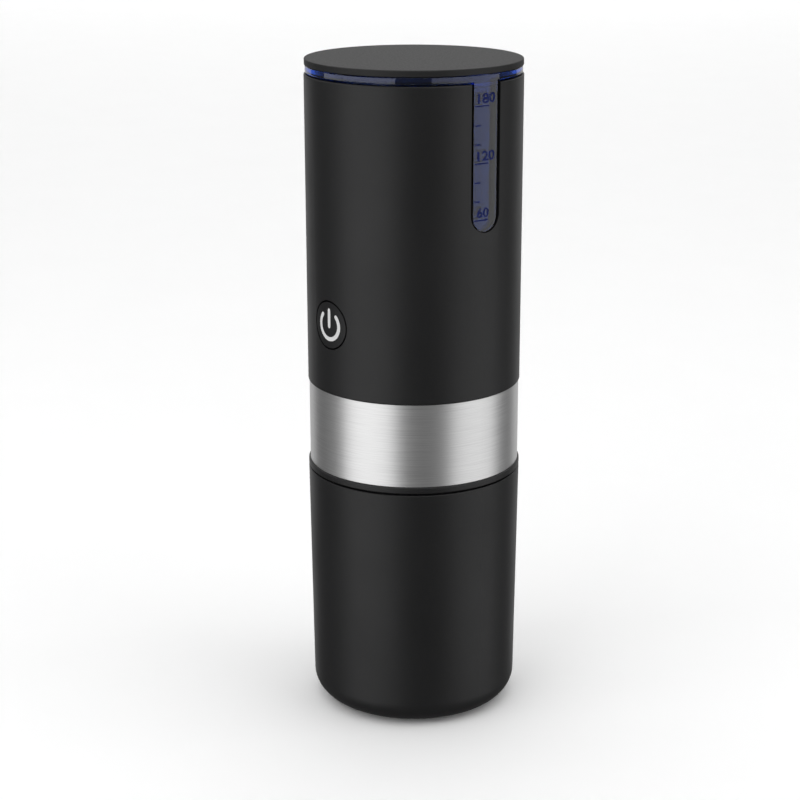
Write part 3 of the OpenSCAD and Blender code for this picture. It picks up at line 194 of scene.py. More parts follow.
class BrewerStudio(bpy.types.PropertyGroup):
    """Camera and lights"""

    camera_turn: FloatProperty(
        name="Camera turn", description="Azimuth of the camera, from the button towards the window",
        default=math.radians(50.3), subtype="ANGLE", unit="ROTATION",
    )
    camera_pitch: FloatProperty(
        name="Camera pitch", description="How far the camera looks down",
        default=math.radians(16.864), subtype="ANGLE", unit="ROTATION",
    )
    camera_distance: length("Camera distance", "From the machine's axis to the camera", 631.5)
    camera_height: length("Camera height", "Height of the camera above the floor", 297.9)
    lens: FloatProperty(name="Lens", description="Focal length, in millimetres", default=86.54)
    shift: FloatProperty(
        name="Shift", description="Sideways shift of the picture, as a share of its width",
        default=-0.01737,
    )
    left_light: FloatProperty(
        name="Left light", description="Brightness on the left", default=1.28,
    )
    right_light: FloatProperty(
        name="Right light", description="Brightness on the right", default=0.97,
    )
    back_light: FloatProperty(name="Back light", description="Brightness behind", default=0.55)
    top_light: FloatProperty(name="Top light", description="Brightness overhead", default=1.0)
    strip_share: FloatProperty(
        name="Strip share", description="Brightness of each strip, as a share of its softbox",
        default=0.88,
    )
    ambient: FloatProperty(name="Ambient", description="Brightness all around", default=0.12)
    ground_radius: length("Ground radius", "Radius of the flat part of the floor", 4000.0)
    ground_sweep: length("Ground sweep", "Radius of the sweep from floor to wall", 900.0)
    ground_wall: length("Ground wall", "Height of the wall above the sweep", 1500.0)
    ground_stipple: length("Ground stipple", "Grain of the floor's rolled paint", 60.0)


# Materials


def blank_tree(name):
    """A new material and its empty node tree."""
    material = bpy.data.materials.new(name)
    material.use_nodes = True
    material.node_tree.nodes.clear()
    return material, material.node_tree


def add(tree, kind, inputs=None, ramp=None, **settings):
    """Adds a node with its settings, the values or links of its sockets, and its colour stops."""
    node = tree.nodes.new(kind)
    for name, value in settings.items():
        setattr(node, name, value)
    for socket, value in (inputs or {}).items():
        if isinstance(value, bpy.types.NodeSocket):
            tree.links.new(value, node.inputs[socket])
        else:
            node.inputs[socket].default_value = value
    for i, (position, stop) in enumerate(ramp or []):
        stops = node.color_ramp.elements
        element = stops[i] if i < len(stops) else stops.new(position)
        element.position = position
        element.color = stop
    return node


def darker(tone, share):
    """A colour with a share of its brightness."""
    return [share * c for c in tone[:3]] + [1.0]


def grained(name, grain, deep, pale, dull, relief, **shader):
    """A finish whose tone, gloss and relief follow one noise, with its grain along X, Y and Z."""
    material, tree = blank_tree(name)
    place = add(tree, "ShaderNodeTexCoord").outputs["Object"]
    along = add(tree, "ShaderNodeMapping", {"Vector": place, "Scale": [1 / size for size in grain]})
    noise = add(tree, "ShaderNodeTexNoise", {
        "Vector": along.outputs["Vector"], "Scale": 1.0, "Detail": 3.0, "Roughness": 0.6})
    tone = add(tree, "ShaderNodeValToRGB", {"Fac": noise.outputs["Fac"]}, ramp=[
        (0.3, deep), (0.7, pale)])
    gloss = add(tree, "ShaderNodeMapRange", {
        "Value": noise.outputs["Fac"], "From Min": 0.3, "From Max": 0.7,
        "To Min": dull[0], "To Max": dull[1]})
    bump = add(tree, "ShaderNodeBump", {
        "Height": noise.outputs["Fac"], "Strength": relief, "Distance": min(grain) / 10})
    surface = add(tree, "ShaderNodeBsdfPrincipled", {
        "Base Color": tone.outputs["Color"], "Roughness": gloss.outputs["Result"],
        "Normal": bump.outputs["Normal"], **shader})
    add(tree, "ShaderNodeOutputMaterial", {"Surface": surface.outputs["BSDF"]})
    return material


def soft_touch_abs(scene):
    """ABS, injection moulded and sprayed with a soft-touch lacquer."""
    # A dull black whose highlights are broad and soft. The lacquer's grit breaks them up a little,
    # and handling leaves faint duller patches. The real grit is finer than a pixel, so it is
    # drawn several times coarser here.
    sizes, colours = scene.brewer_sizes, scene.brewer_colours
    material, tree = blank_tree("soft_touch_lacquered_abs")
    place = add(tree, "ShaderNodeTexCoord").outputs["Object"]
    grit = add(tree, "ShaderNodeTexNoise", {
        "Vector": place, "Scale": 1 / sizes.lacquer_grit, "Detail": 3.0, "Roughness": 0.6})
    patches = add(tree, "ShaderNodeTexNoise", {
        "Vector": place, "Scale": 1 / sizes.hand_patch, "Detail": 4.0})
    tone = add(tree, "ShaderNodeValToRGB", {"Fac": grit.outputs["Fac"]}, ramp=[
        (0.3, darker(colours.lacquer, 0.7)), (0.7, colours.lacquer)])
    dull = add(tree, "ShaderNodeMapRange", {
        "Value": patches.outputs["Fac"], "From Min": 0.3, "From Max": 0.7,
        "To Min": 0.42, "To Max": 0.48})
    bump = add(tree, "ShaderNodeBump", {
        "Height": grit.outputs["Fac"], "Strength": 0.25, "Distance": sizes.lacquer_grit / 10})
    shader = add(tree, "ShaderNodeBsdfPrincipled", {
        "Base Color": tone.outputs["Color"], "Roughness": dull.outputs["Result"],
        "IOR": 1.42, "Normal": bump.outputs["Normal"]})
    add(tree, "ShaderNodeOutputMaterial", {"Surface": shader.outputs["BSDF"]})
    return material


def eroded_abs(scene):
    """ABS, injection moulded in a spark-eroded tool and left bare."""
    # The same black with a visible dry grain, so that it greys evenly at a low angle of view.
    sizes, colours = scene.brewer_sizes, scene.brewer_colours
    return grained("spark_eroded_abs", 3 * [sizes.lid_grain], darker(colours.lacquer, 0.7),
                   colours.lacquer, dull=(0.54, 0.66), relief=0.65, IOR=1.42)


def brushed_stainless(scene):
    """Stainless steel sheet, rolled into a ring and brushed around it."""
    # Bright with soft-edged upright reflections, drawn out along fine lines that run round the
    # ring. The real lines are finer than a pixel, so they are drawn a few times wider here.
    sizes, colours = scene.brewer_sizes, scene.brewer_colours
    material, tree = blank_tree("brushed_stainless_steel")
    place = add(tree, "ShaderNodeTexCoord").outputs["Object"]
    along = add(tree, "ShaderNodeMapping", {
        "Vector": place,
        "Scale": (1 / sizes.brush_run, 1 / sizes.brush_run, 1 / sizes.brush_pitch)})
    lines = add(tree, "ShaderNodeTexNoise", {
        "Vector": along.outputs["Vector"], "Scale": 1.0, "Detail": 4.0, "Roughness": 0.65})
    tone = add(tree, "ShaderNodeValToRGB", {"Fac": lines.outputs["Fac"]}, ramp=[
        (0.3, darker(colours.steel, 0.8)), (0.7, colours.steel)])
    dull = add(tree, "ShaderNodeMapRange", {
        "Value": lines.outputs["Fac"], "From Min": 0.25, "From Max": 0.75,
        "To Min": 0.36, "To Max": 0.44})
    bump = add(tree, "ShaderNodeBump", {
        "Height": lines.outputs["Fac"], "Strength": 0.2, "Distance": sizes.brush_pitch / 20})
    around = add(tree, "ShaderNodeTangent", direction_type="RADIAL", axis="Z")
    shader = add(tree, "ShaderNodeBsdfPrincipled", {
        "Base Color": tone.outputs["Color"], "Metallic": 1.0, "Roughness": dull.outputs["Result"],
        "Anisotropic": 0.3, "Anisotropic Rotation": 0.25, "Tangent": around.outputs["Tangent"],
        "Normal": bump.outputs["Normal"]})
    add(tree, "ShaderNodeOutputMaterial", {"Surface": shader.outputs["BSDF"]})
    return material


def tinted_copolyester(scene):
    """Clear copolyester, injection moulded with a blue tint."""
    # Glossy and see-through: nearly black over dark insides, a hazy blue in the window, and a
    # bright deep blue where light comes a long way through the rim. Faint flow marks in its gloss.
    # The narrow sides of the window and the rim's inner face are coloured black as painted shade,
    # for the shadow gap round the window and the dark insides behind the rim: it outlines the
    # window and darkens the rim. Where this painted shade lies is worked out from the place alone.
    sizes, colours = scene.brewer_sizes, scene.brewer_colours
    material, tree = blank_tree("tinted_clear_copolyester")
    place = add(tree, "ShaderNodeTexCoord").outputs["Object"]
    flow = add(tree, "ShaderNodeTexNoise", {
        "Vector": place, "Scale": 1 / sizes.flow_mark, "Detail": 2.0})
    dull = add(tree, "ShaderNodeMapRange", {
        "Value": flow.outputs["Fac"], "To Min": 0.02, "To Max": 0.06})
    x, y, z = add(tree, "ShaderNodeSeparateXYZ", {"Vector": place}).outputs
    # Across the window from its middle line, which ends where its lower end starts to bend round
    bend = sizes.window_low + sizes.window_width / 2
    down = add(tree, "ShaderNodeMath", {0: z, 1: bend}, operation="SUBTRACT")
    fall = add(tree, "ShaderNodeMath", {0: down.outputs["Value"], 1: 0.0}, operation="MINIMUM")
    beside, radial = (
        add(tree, "ShaderNodeCombineXYZ", {"X": first, "Y": second}).outputs["Vector"]
        for first, second in ((y, fall.outputs["Value"]), (x, y)))
    across, reach = (
        add(tree, "ShaderNodeVectorMath", {0: offset}, operation="LENGTH").outputs["Value"]
        for offset in (beside, radial))
    shell_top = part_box("upper_shell")[1].z
    low, edge, out, high, seat = (
        add(tree, "ShaderNodeMath", {0: value, 1: limit}, operation=test).outputs["Value"]
        for value, test, limit in (
            (z, "LESS_THAN", shell_top),
            (across, "GREATER_THAN", sizes.window_width / 2 - sizes.paint_wrap),
            (reach, "GREATER_THAN", sizes.tank_outside + sizes.paint_wrap),
            (z, "GREATER_THAN", shell_top),
            (reach, "LESS_THAN", sizes.tank_radius + sizes.paint_wrap)))
    # Where the black painted shade goes: the rim's inner face above the shell, and the window's
    # narrow sides
    rim = add(tree, "ShaderNodeMath", {0: high, 1: seat}, operation="MULTIPLY")
    edges = add(tree, "ShaderNodeMath", {0: low, 1: edge}, operation="MULTIPLY")
    sides = add(tree, "ShaderNodeMath", {0: edges.outputs["Value"], 1: out}, operation="MULTIPLY")
    painted_shade_mask = add(tree, "ShaderNodeMath", {
        0: rim.outputs["Value"], 1: sides.outputs["Value"]}, operation="MAXIMUM").outputs["Value"]
    # Black painted shade where the mask is set, the clear blue tint elsewhere
    tone = add(tree, "ShaderNodeValToRGB", {"Fac": painted_shade_mask}, ramp=[
        (0.0, colours.tank), (1.0, darker(colours.tank, 0.0))])
    shader = add(tree, "ShaderNodeBsdfPrincipled", {
        "Base Color": tone.outputs["Color"], "Roughness": dull.outputs["Result"], "IOR": 1.57,
        "Transmission Weight": 1.0})
    depth = add(tree, "ShaderNodeVolumeAbsorption", {
        "Color": colours.tank_depth, "Density": 330.0})
    add(tree, "ShaderNodeOutputMaterial", {
        "Surface": shader.outputs["BSDF"], "Volume": depth.outputs["Volume"]})
    return material


def printed_ink(scene):
    """Screen ink, printed on the window."""
    # A thin, slightly uneven coat that stays matt over the gloss of the window.
    sizes, colours = scene.brewer_sizes, scene.brewer_colours
    return grained("printed_screen_ink", 3 * [1.5 * sizes.mark_line], darker(colours.ink, 0.8),
                   colours.ink, dull=(0.5, 0.6), relief=0.1, **{"Specular IOR Level": 0.1})


def light_guide(scene):
    """Opal polycarbonate, moulded into the button and polished flush."""
    # A pale even grey-white with a faint cloudiness and a soft gloss.
    sizes, colours = scene.brewer_sizes, scene.brewer_colours
    return grained("opal_polycarbonate", 3 * [3 * sizes.mould_grain],
                   darker(colours.light_guide, 0.94), colours.light_guide,
                   dull=(0.3, 0.4), relief=0.02)


def polypropylene(scene):
    """Polypropylene, injection moulded in a finely spark-eroded tool."""
    # A waxy charcoal with an even grain and a low broad sheen.
    sizes, colours = scene.brewer_sizes, scene.brewer_colours
    return grained("moulded_polypropylene", 3 * [sizes.mould_grain],
                   darker(colours.polypropylene, 0.8), colours.polypropylene,
                   dull=(0.38, 0.5), relief=0.25)


def filled_nylon(scene):
    """Glass-filled nylon, injection moulded."""
    # Dark grey and dull, with pale flecks where short fibres lie at the surface.
    sizes, colours = scene.brewer_sizes, scene.brewer_colours
    return grained("glass_filled_nylon", (sizes.fibre, sizes.fibre / 4, sizes.fibre / 4),
                   colours.nylon, colours.fibre, dull=(0.5, 0.65), relief=0.3)


def moulded_rubber(scene):
    """Nitrile rubber, compression moulded."""
    # Dull near-black with a fine even grain and hardly any highlight.
    sizes, colours = scene.brewer_sizes, scene.brewer_colours
    return grained("moulded_nitrile_rubber", 3 * [sizes.mould_grain], darker(colours.rubber, 0.7),
                   colours.rubber, dull=(0.6, 0.75), relief=0.35)


def moulded_silicone(scene):
    """Silicone rubber, moulded and left natural grey."""
    # Milky grey with a satin skin that picks up dust in faint clouds.
    sizes, colours = scene.brewer_sizes, scene.brewer_colours
    return grained("moulded_silicone", 3 * [4 * sizes.mould_grain],
                   darker(colours.silicone, 0.85), colours.silicone,
                   dull=(0.35, 0.5), relief=0.05, **{"Subsurface Weight": 0.1})


def turned(scene, name, pale, dull):
    """A metal turned or drawn about Z: faint tool marks that run round it."""
    sizes = scene.brewer_sizes
    return grained(name, (sizes.tool_run, sizes.tool_run, sizes.tool_pitch), darker(pale, 0.75),
                   pale, dull, relief=0.15, Metallic=1.0)


def sintered(scene, name, pale, dull, metallic):
    """A pressed and fired powder: an even speckle of pores."""
    sizes = scene.brewer_sizes
    return grained(name, 3 * [sizes.tool_pitch], darker(pale, 0.6), pale, dull, relief=0.3,
                   Metallic=metallic)


def banded(name, pitch, rings, deep, pale, dull):
    """A metal made of layers of one thickness: sheets up Z, or turns of wire out from Z."""
    material, tree = blank_tree(name)
    place = add(tree, "ShaderNodeTexCoord").outputs["Object"]
    layers = add(tree, "ShaderNodeTexWave", {"Vector": place, "Scale": WAVE / pitch},
                 wave_type="RINGS" if rings else "BANDS", bands_direction="Z", rings_direction="Z")
    tone = add(tree, "ShaderNodeValToRGB", {"Fac": layers.outputs["Fac"]}, ramp=[
        (0.0, deep), (0.5, pale)])
    bump = add(tree, "ShaderNodeBump", {
        "Height": layers.outputs["Fac"], "Strength": 0.6, "Distance": pitch / 4})
    surface = add(tree, "ShaderNodeBsdfPrincipled", {
        "Base Color": tone.outputs["Color"], "Roughness": dull, "Metallic": 1.0,
        "Normal": bump.outputs["Normal"]})
    add(tree, "ShaderNodeOutputMaterial", {"Surface": surface.outputs["BSDF"]})
    return material


def circuit_board(scene):
    """Glass-fibre board, etched and coated with green solder resist."""
    # Glossy dark green, with paler raised tracks that run in blocks, one way or the other.
    sizes, colours = scene.brewer_sizes, scene.brewer_colours
    material, tree = blank_tree("etched_glass_fibre_board")
    place = add(tree, "ShaderNodeTexCoord").outputs["Object"]
    upright, level = (
        add(tree, "ShaderNodeTexWave", {"Vector": place, "Scale": WAVE / sizes.track_pitch},
            bands_direction=direction).outputs["Fac"] for direction in "XZ")
    blocks = add(tree, "ShaderNodeTexVoronoi", {"Vector": place, "Scale": 1 / sizes.track_block},
                 distance="CHEBYCHEV")
    way = add(tree, "ShaderNodeMath", {0: blocks.outputs["Color"], 1: 0.5},
              operation="GREATER_THAN")
    tracks = add(tree, "ShaderNodeMix", {"Factor": way.outputs["Value"], "A": upright, "B": level})
    tone = add(tree, "ShaderNodeValToRGB", {"Fac": tracks.outputs["Result"]}, ramp=[
        (0.55, colours.board), (0.65, colours.track)])
    bump = add(tree, "ShaderNodeBump", {
        "Height": tone.outputs["Color"], "Strength": 0.3, "Distance": sizes.track_step})
    shader = add(tree, "ShaderNodeBsdfPrincipled", {
        "Base Color": tone.outputs["Color"], "Roughness": 0.25, "Normal": bump.outputs["Normal"]})
    add(tree, "ShaderNodeOutputMaterial", {"Surface": shader.outputs["BSDF"]})
    return material


def wrapped_cell(scene, node):
    """A plated steel can in a shrunk PVC sleeve, for one cell."""
    # A glossy blue tube whose wrap folds over the ends and leaves a bright bare disc.
    sizes, colours = scene.brewer_sizes, scene.brewer_colours
    low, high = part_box(node)
    material, tree = blank_tree(f"pvc_wrapped_{node}")
    place = add(tree, "ShaderNodeTexCoord").outputs["Object"]
    across = add(tree, "ShaderNodeMapping", {
        "Vector": place, "Location": (-(low.x + high.x) / 2, -(low.y + high.y) / 2, 0.0),
        "Scale": (1.0, 1.0, 0.0)})
    out = add(tree, "ShaderNodeVectorMath", {0: across.outputs["Vector"]}, operation="LENGTH")
    wrap = add(tree, "ShaderNodeMath", {0: out.outputs["Value"], 1: sizes.wrap_fold},
               operation="GREATER_THAN")
    creases = add(tree, "ShaderNodeTexNoise", {
        "Vector": place, "Scale": 1 / (4 * sizes.mould_grain), "Detail": 3.0})
    tone = add(tree, "ShaderNodeValToRGB", {"Fac": wrap.outputs["Value"]}, ramp=[
        (0.0, colours.nickel), (1.0, colours.cell)])
    metal = add(tree, "ShaderNodeMath", {0: 1.0, 1: wrap.outputs["Value"]}, operation="SUBTRACT")
    dull = add(tree, "ShaderNodeMapRange", {
        "Value": creases.outputs["Fac"], "To Min": 0.2, "To Max": 0.4})
    bump = add(tree, "ShaderNodeBump", {
        "Height": creases.outputs["Fac"], "Strength": 0.2, "Distance": sizes.wrap_crease})
    shader = add(tree, "ShaderNodeBsdfPrincipled", {
        "Base Color": tone.outputs["Color"], "Metallic": metal.outputs["Value"],
        "Roughness": dull.outputs["Result"], "Normal": bump.outputs["Normal"]})
    add(tree, "ShaderNodeOutputMaterial", {"Surface": shader.outputs["BSDF"]})
    return material


def dress(material, *nodes):
    """Gives CAD nodes a material."""
    for node in nodes:
        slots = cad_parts[node].data.materials
        slots.clear()
        slots.append(material)


# Pieces


class BREWER_OT_shells(bpy.types.Operator):
    """Finish the black outer shells, the cup, the button and the port's cover"""

    bl_idname = "brewer.shells"
    bl_label = "Finish the shells"

    def execute(self, context):
        dress(soft_touch_abs(context.scene), "upper_shell", "base_collar", "cup_shell",
              "power_button", "port_cover")
        return {"FINISHED"}


class BREWER_OT_lid(bpy.types.Operator):
    """Finish the grained black lid"""

    bl_idname = "brewer.lid"
    bl_label = "Finish the lid"

    def execute(self, context):
        dress(eroded_abs(context.scene), "lid")
        return {"FINISHED"}


class BREWER_OT_band(bpy.types.Operator):
    """Finish the brushed steel band"""

    bl_idname = "brewer.band"
    bl_label = "Finish the steel band"

    def execute(self, context):
        dress(brushed_stainless(context.scene), "steel_band")
        return {"FINISHED"}


class BREWER_OT_tank(bpy.types.Operator):
    """Finish the clear water tank, whose rim and window show outside"""

    bl_idname = "brewer.tank"
    bl_label = "Finish the tank"

    def execute(self, context):
        dress(tinted_copolyester(context.scene), "water_tank")
        return {"FINISHED"}


class BREWER_OT_level_marks(bpy.types.Operator):
    """Print lines and numbers for the water level on the window"""

    bl_idname = "brewer.level_marks"
    bl_label = "Print the level marks"

    def execute(self, context):
        scene = context.scene
        sizes, scale = scene.brewer_sizes, scene.brewer_scale
        self.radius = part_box("water_tank")[1].x
        self.proud = sizes.mark_proud
        tank_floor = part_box("tank_filter")[0].z
        area = math.pi * sizes.tank_radius ** 2
        edge = -sizes.window_width / 2
        mesh = bmesh.new()
        for volume in range(scale.lowest, scale.highest + 1, scale.step):
            level = tank_floor + volume * MILLILITRE / area
            numbered = volume % scale.numbered == 0
            start = edge + sizes.mark_inset
            stop = start + (sizes.long_mark if numbered else sizes.short_mark)
            self.line(mesh, start, stop, level, sizes.mark_line)
            if numbered:
                self.number(mesh, scene, volume, edge + sizes.digit_inset,
                            level + sizes.digit_rise)
        data = bpy.data.meshes.new("level_marks")
        mesh.to_mesh(data)
        mesh.free()
        data.materials.append(printed_ink(scene))
        marks = bpy.data.objects.new("level_marks", data)
        scene.collection.objects.link(marks)
        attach(marks, "machine")
        return {"FINISHED"}

    def wrap(self, along, up, out):
        """A point on the round face of the window."""
        angle = along / self.radius
        reach = self.radius + out
        return Vector((reach * math.cos(angle), reach * math.sin(angle), up))

    def line(self, mesh, start, stop, level, thickness):
        """A thin bar that follows the window's face, made of short straight blocks."""
        low, high = level - thickness / 2, level + thickness / 2
        corners = [(low, 0.0), (low, self.proud), (high, self.proud), (high, 0.0)]
        sections = []
        for i in range(LINE_STEPS + 1):
            along = start + (stop - start) * i / LINE_STEPS
            sections.append([mesh.verts.new(self.wrap(along, up, out)) for up, out in corners])
        for here, there in zip(sections, sections[1:]):
            for i in range(len(corners)):
                after = (i + 1) % len(corners)
                mesh.faces.new((here[i], there[i], there[after], here[after]))
        mesh.faces.new(sections[0])
        mesh.faces.new(reversed(sections[-1]))

    def number(self, mesh, scene, volume, start, base):
        """The digits of a volume, as raised flat letters on the window's face."""
        sizes = scene.brewer_sizes
        text = bpy.data.curves.new("number", "FONT")
        text.body = str(volume)
        text.extrude = LETTER_HALF
        text.offset = LETTER_SWELL
        text.resolution_u = LETTER_STEPS
        shape = bpy.data.objects.new("number", text)
        scene.collection.objects.link(shape)
        evaluated = shape.evaluated_get(bpy.context.evaluated_depsgraph_get())
        digits = bmesh.new()
        digits.from_mesh(evaluated.to_mesh())
        bmesh.ops.remove_doubles(digits, verts=digits.verts, dist=LETTER_JOIN)
        left, right = (end(v.co.x for v in digits.verts) for end in (min, max))
        bottom, top = (end(v.co.y for v in digits.verts) for end in (min, max))
        across = len(text.body) * sizes.digit_width / (right - left)
        for vert in digits.verts:
            vert.co = self.wrap(start + (vert.co.x - left) * across,
                                base + vert.co.y * sizes.digit_height / (top - bottom),
                                (vert.co.z + LETTER_HALF) * self.proud)
        flat = bpy.data.meshes.new("number")
        digits.to_mesh(flat)
        digits.free()
        mesh.from_mesh(flat)
        bpy.data.meshes.remove(flat)
        bpy.data.objects.remove(shape)
        bpy.data.curves.remove(text)


class BREWER_OT_power_symbol(bpy.types.Operator):
    """Finish the light guide of the power symbol"""

    bl_idname = "brewer.power_symbol"
    bl_label = "Finish the power symbol"

    def execute(self, context):
        dress(light_guide(context.scene), "button_icon")
        return {"FINISHED"}


class BREWER_OT_rubber(bpy.types.Operator):
    """Finish the foot, the seals, the hose and the switch's plunger"""

    bl_idname = "brewer.rubber"
    bl_label = "Finish the rubber pieces"

    def execute(self, context):
        dress(moulded_rubber(context.scene), "foot_pad", "shaft_seal", "switch_plunger")
        dress(moulded_silicone(context.scene), "cup_gasket", "brew_seal", "lid_seal",
              "pump_outlet_seal", "suction_hose")
        return {"FINISHED"}


class BREWER_OT_mouldings(bpy.types.Operator):
    """Finish the plastic pieces inside"""

    bl_idname = "brewer.mouldings"
    bl_label = "Finish the inner mouldings"

    def execute(self, context):
        scene = context.scene
        dress(polypropylene(scene), "cup_liner", "brew_head", "capsule_holder", "lid_plug")
        dress(filled_nylon(scene), "inner_frame", "cradle_base", "cradle_top", "pump_body",
              "pump_cover", "motor_endcap")
        return {"FINISHED"}


class BREWER_OT_steel(bpy.types.Operator):
    """Finish the screws, the shafts and the plates and filter that touch water"""

    bl_idname = "brewer.steel"
    bl_label = "Finish the steel pieces"

    def execute(self, context):
        scene = context.scene
        colours = scene.brewer_colours
        # Stainless steel, turned: bright, with fine rings that spread each highlight sideways
        dress(turned(scene, "turned_stainless_steel", colours.steel, dull=(0.22, 0.34)),
              "frame_screws", "brew_head_screws", "pump_screws", "motor_screws", "cradle_screws",
              "lid_screws", "motor_shaft", "idler_shaft")
        # Stainless steel sheet, pressed: satin, with a faint even rolling grain
        dress(grained("pressed_stainless_steel", 3 * [scene.brewer_sizes.tool_pitch],
                      darker(colours.steel, 0.85), colours.steel, dull=(0.3, 0.42), relief=0.1,
                      Metallic=1.0),
              "tank_filter", "piercing_plate", "outlet_plate")
        return {"FINISHED"}


class BREWER_OT_pump_and_motor(bpy.types.Operator):
    """Finish the gears, the bushes and the motor"""

    bl_idname = "brewer.pump_and_motor"
    bl_label = "Finish the pump and motor"

    def execute(self, context):
        scene = context.scene
        sizes, colours = scene.brewer_sizes, scene.brewer_colours
        # Brass, hobbed: warm and bright, with cutter marks up the teeth
        dress(turned(scene, "hobbed_brass", colours.brass, dull=(0.25, 0.38)),
              "drive_gear", "idler_gear")
        # Bronze powder, sintered and oiled: brown and dull, full of fine dark pores
        dress(sintered(scene, "sintered_bronze", colours.bronze, dull=(0.4, 0.55), metallic=1.0),
              "pump_bushes", "motor_bushes")
        # Steel sheet, deep drawn and zinc plated: pale grey with a soft streaky shine
        dress(turned(scene, "drawn_zinc_plated_steel", colours.zinc, dull=(0.32, 0.45)),
              "motor_can")
        # Ferrite, pressed and fired: charcoal, stony and dry
        dress(sintered(scene, "fired_ferrite", colours.ferrite, dull=(0.6, 0.75), metallic=0.0),
              "motor_magnets")
        # Silicon steel sheets, stacked: thin dark lines between bright edges
        dress(banded("stacked_silicon_steel", sizes.lamination, rings=False,
                     deep=darker(colours.steel, 0.25), pale=darker(colours.steel, 0.7), dull=0.4),
              "motor_armature")
        # Enamelled copper wire, wound: glossy red-brown turns side by side
        dress(banded("wound_enamelled_copper", sizes.wire, rings=True,
                     deep=darker(colours.copper, 0.25), pale=colours.copper, dull=0.3),
              "armature_windings")
        # Copper and graphite, pressed: dark red-brown and dry
        dress(sintered(scene, "pressed_copper_graphite", darker(colours.copper, 0.6),
                       dull=(0.45, 0.6), metallic=1.0), "motor_brushes")
        return {"FINISHED"}


class BREWER_OT_electrics(bpy.types.Operator):
    """Finish the boards, the cells, the switch and the charging socket"""

    bl_idname = "brewer.electrics"
    bl_label = "Finish the electrics"

    def execute(self, context):
        scene = context.scene
        sizes, colours = scene.brewer_sizes, scene.brewer_colours
        dress(circuit_board(scene), "control_board", "switch_board")
        for cell in ("battery_cell_left", "battery_cell_right"):
            dress(wrapped_cell(scene, cell), cell)
        # Nickel strip and nickel-plated brass, rolled: warm grey with fine straight scratches
        dress(turned(scene, "rolled_nickel", colours.nickel, dull=(0.25, 0.4)),
              "cell_contacts", "charging_socket")
        # Epoxy, moulded: flat black with a fine matt grain
        dress(grained("moulded_epoxy", 3 * [sizes.mould_grain], darker(colours.chip, 0.7),
                      colours.chip, dull=(0.45, 0.6), relief=0.3), "board_chips", "power_switch")
        return {"FINISHED"}


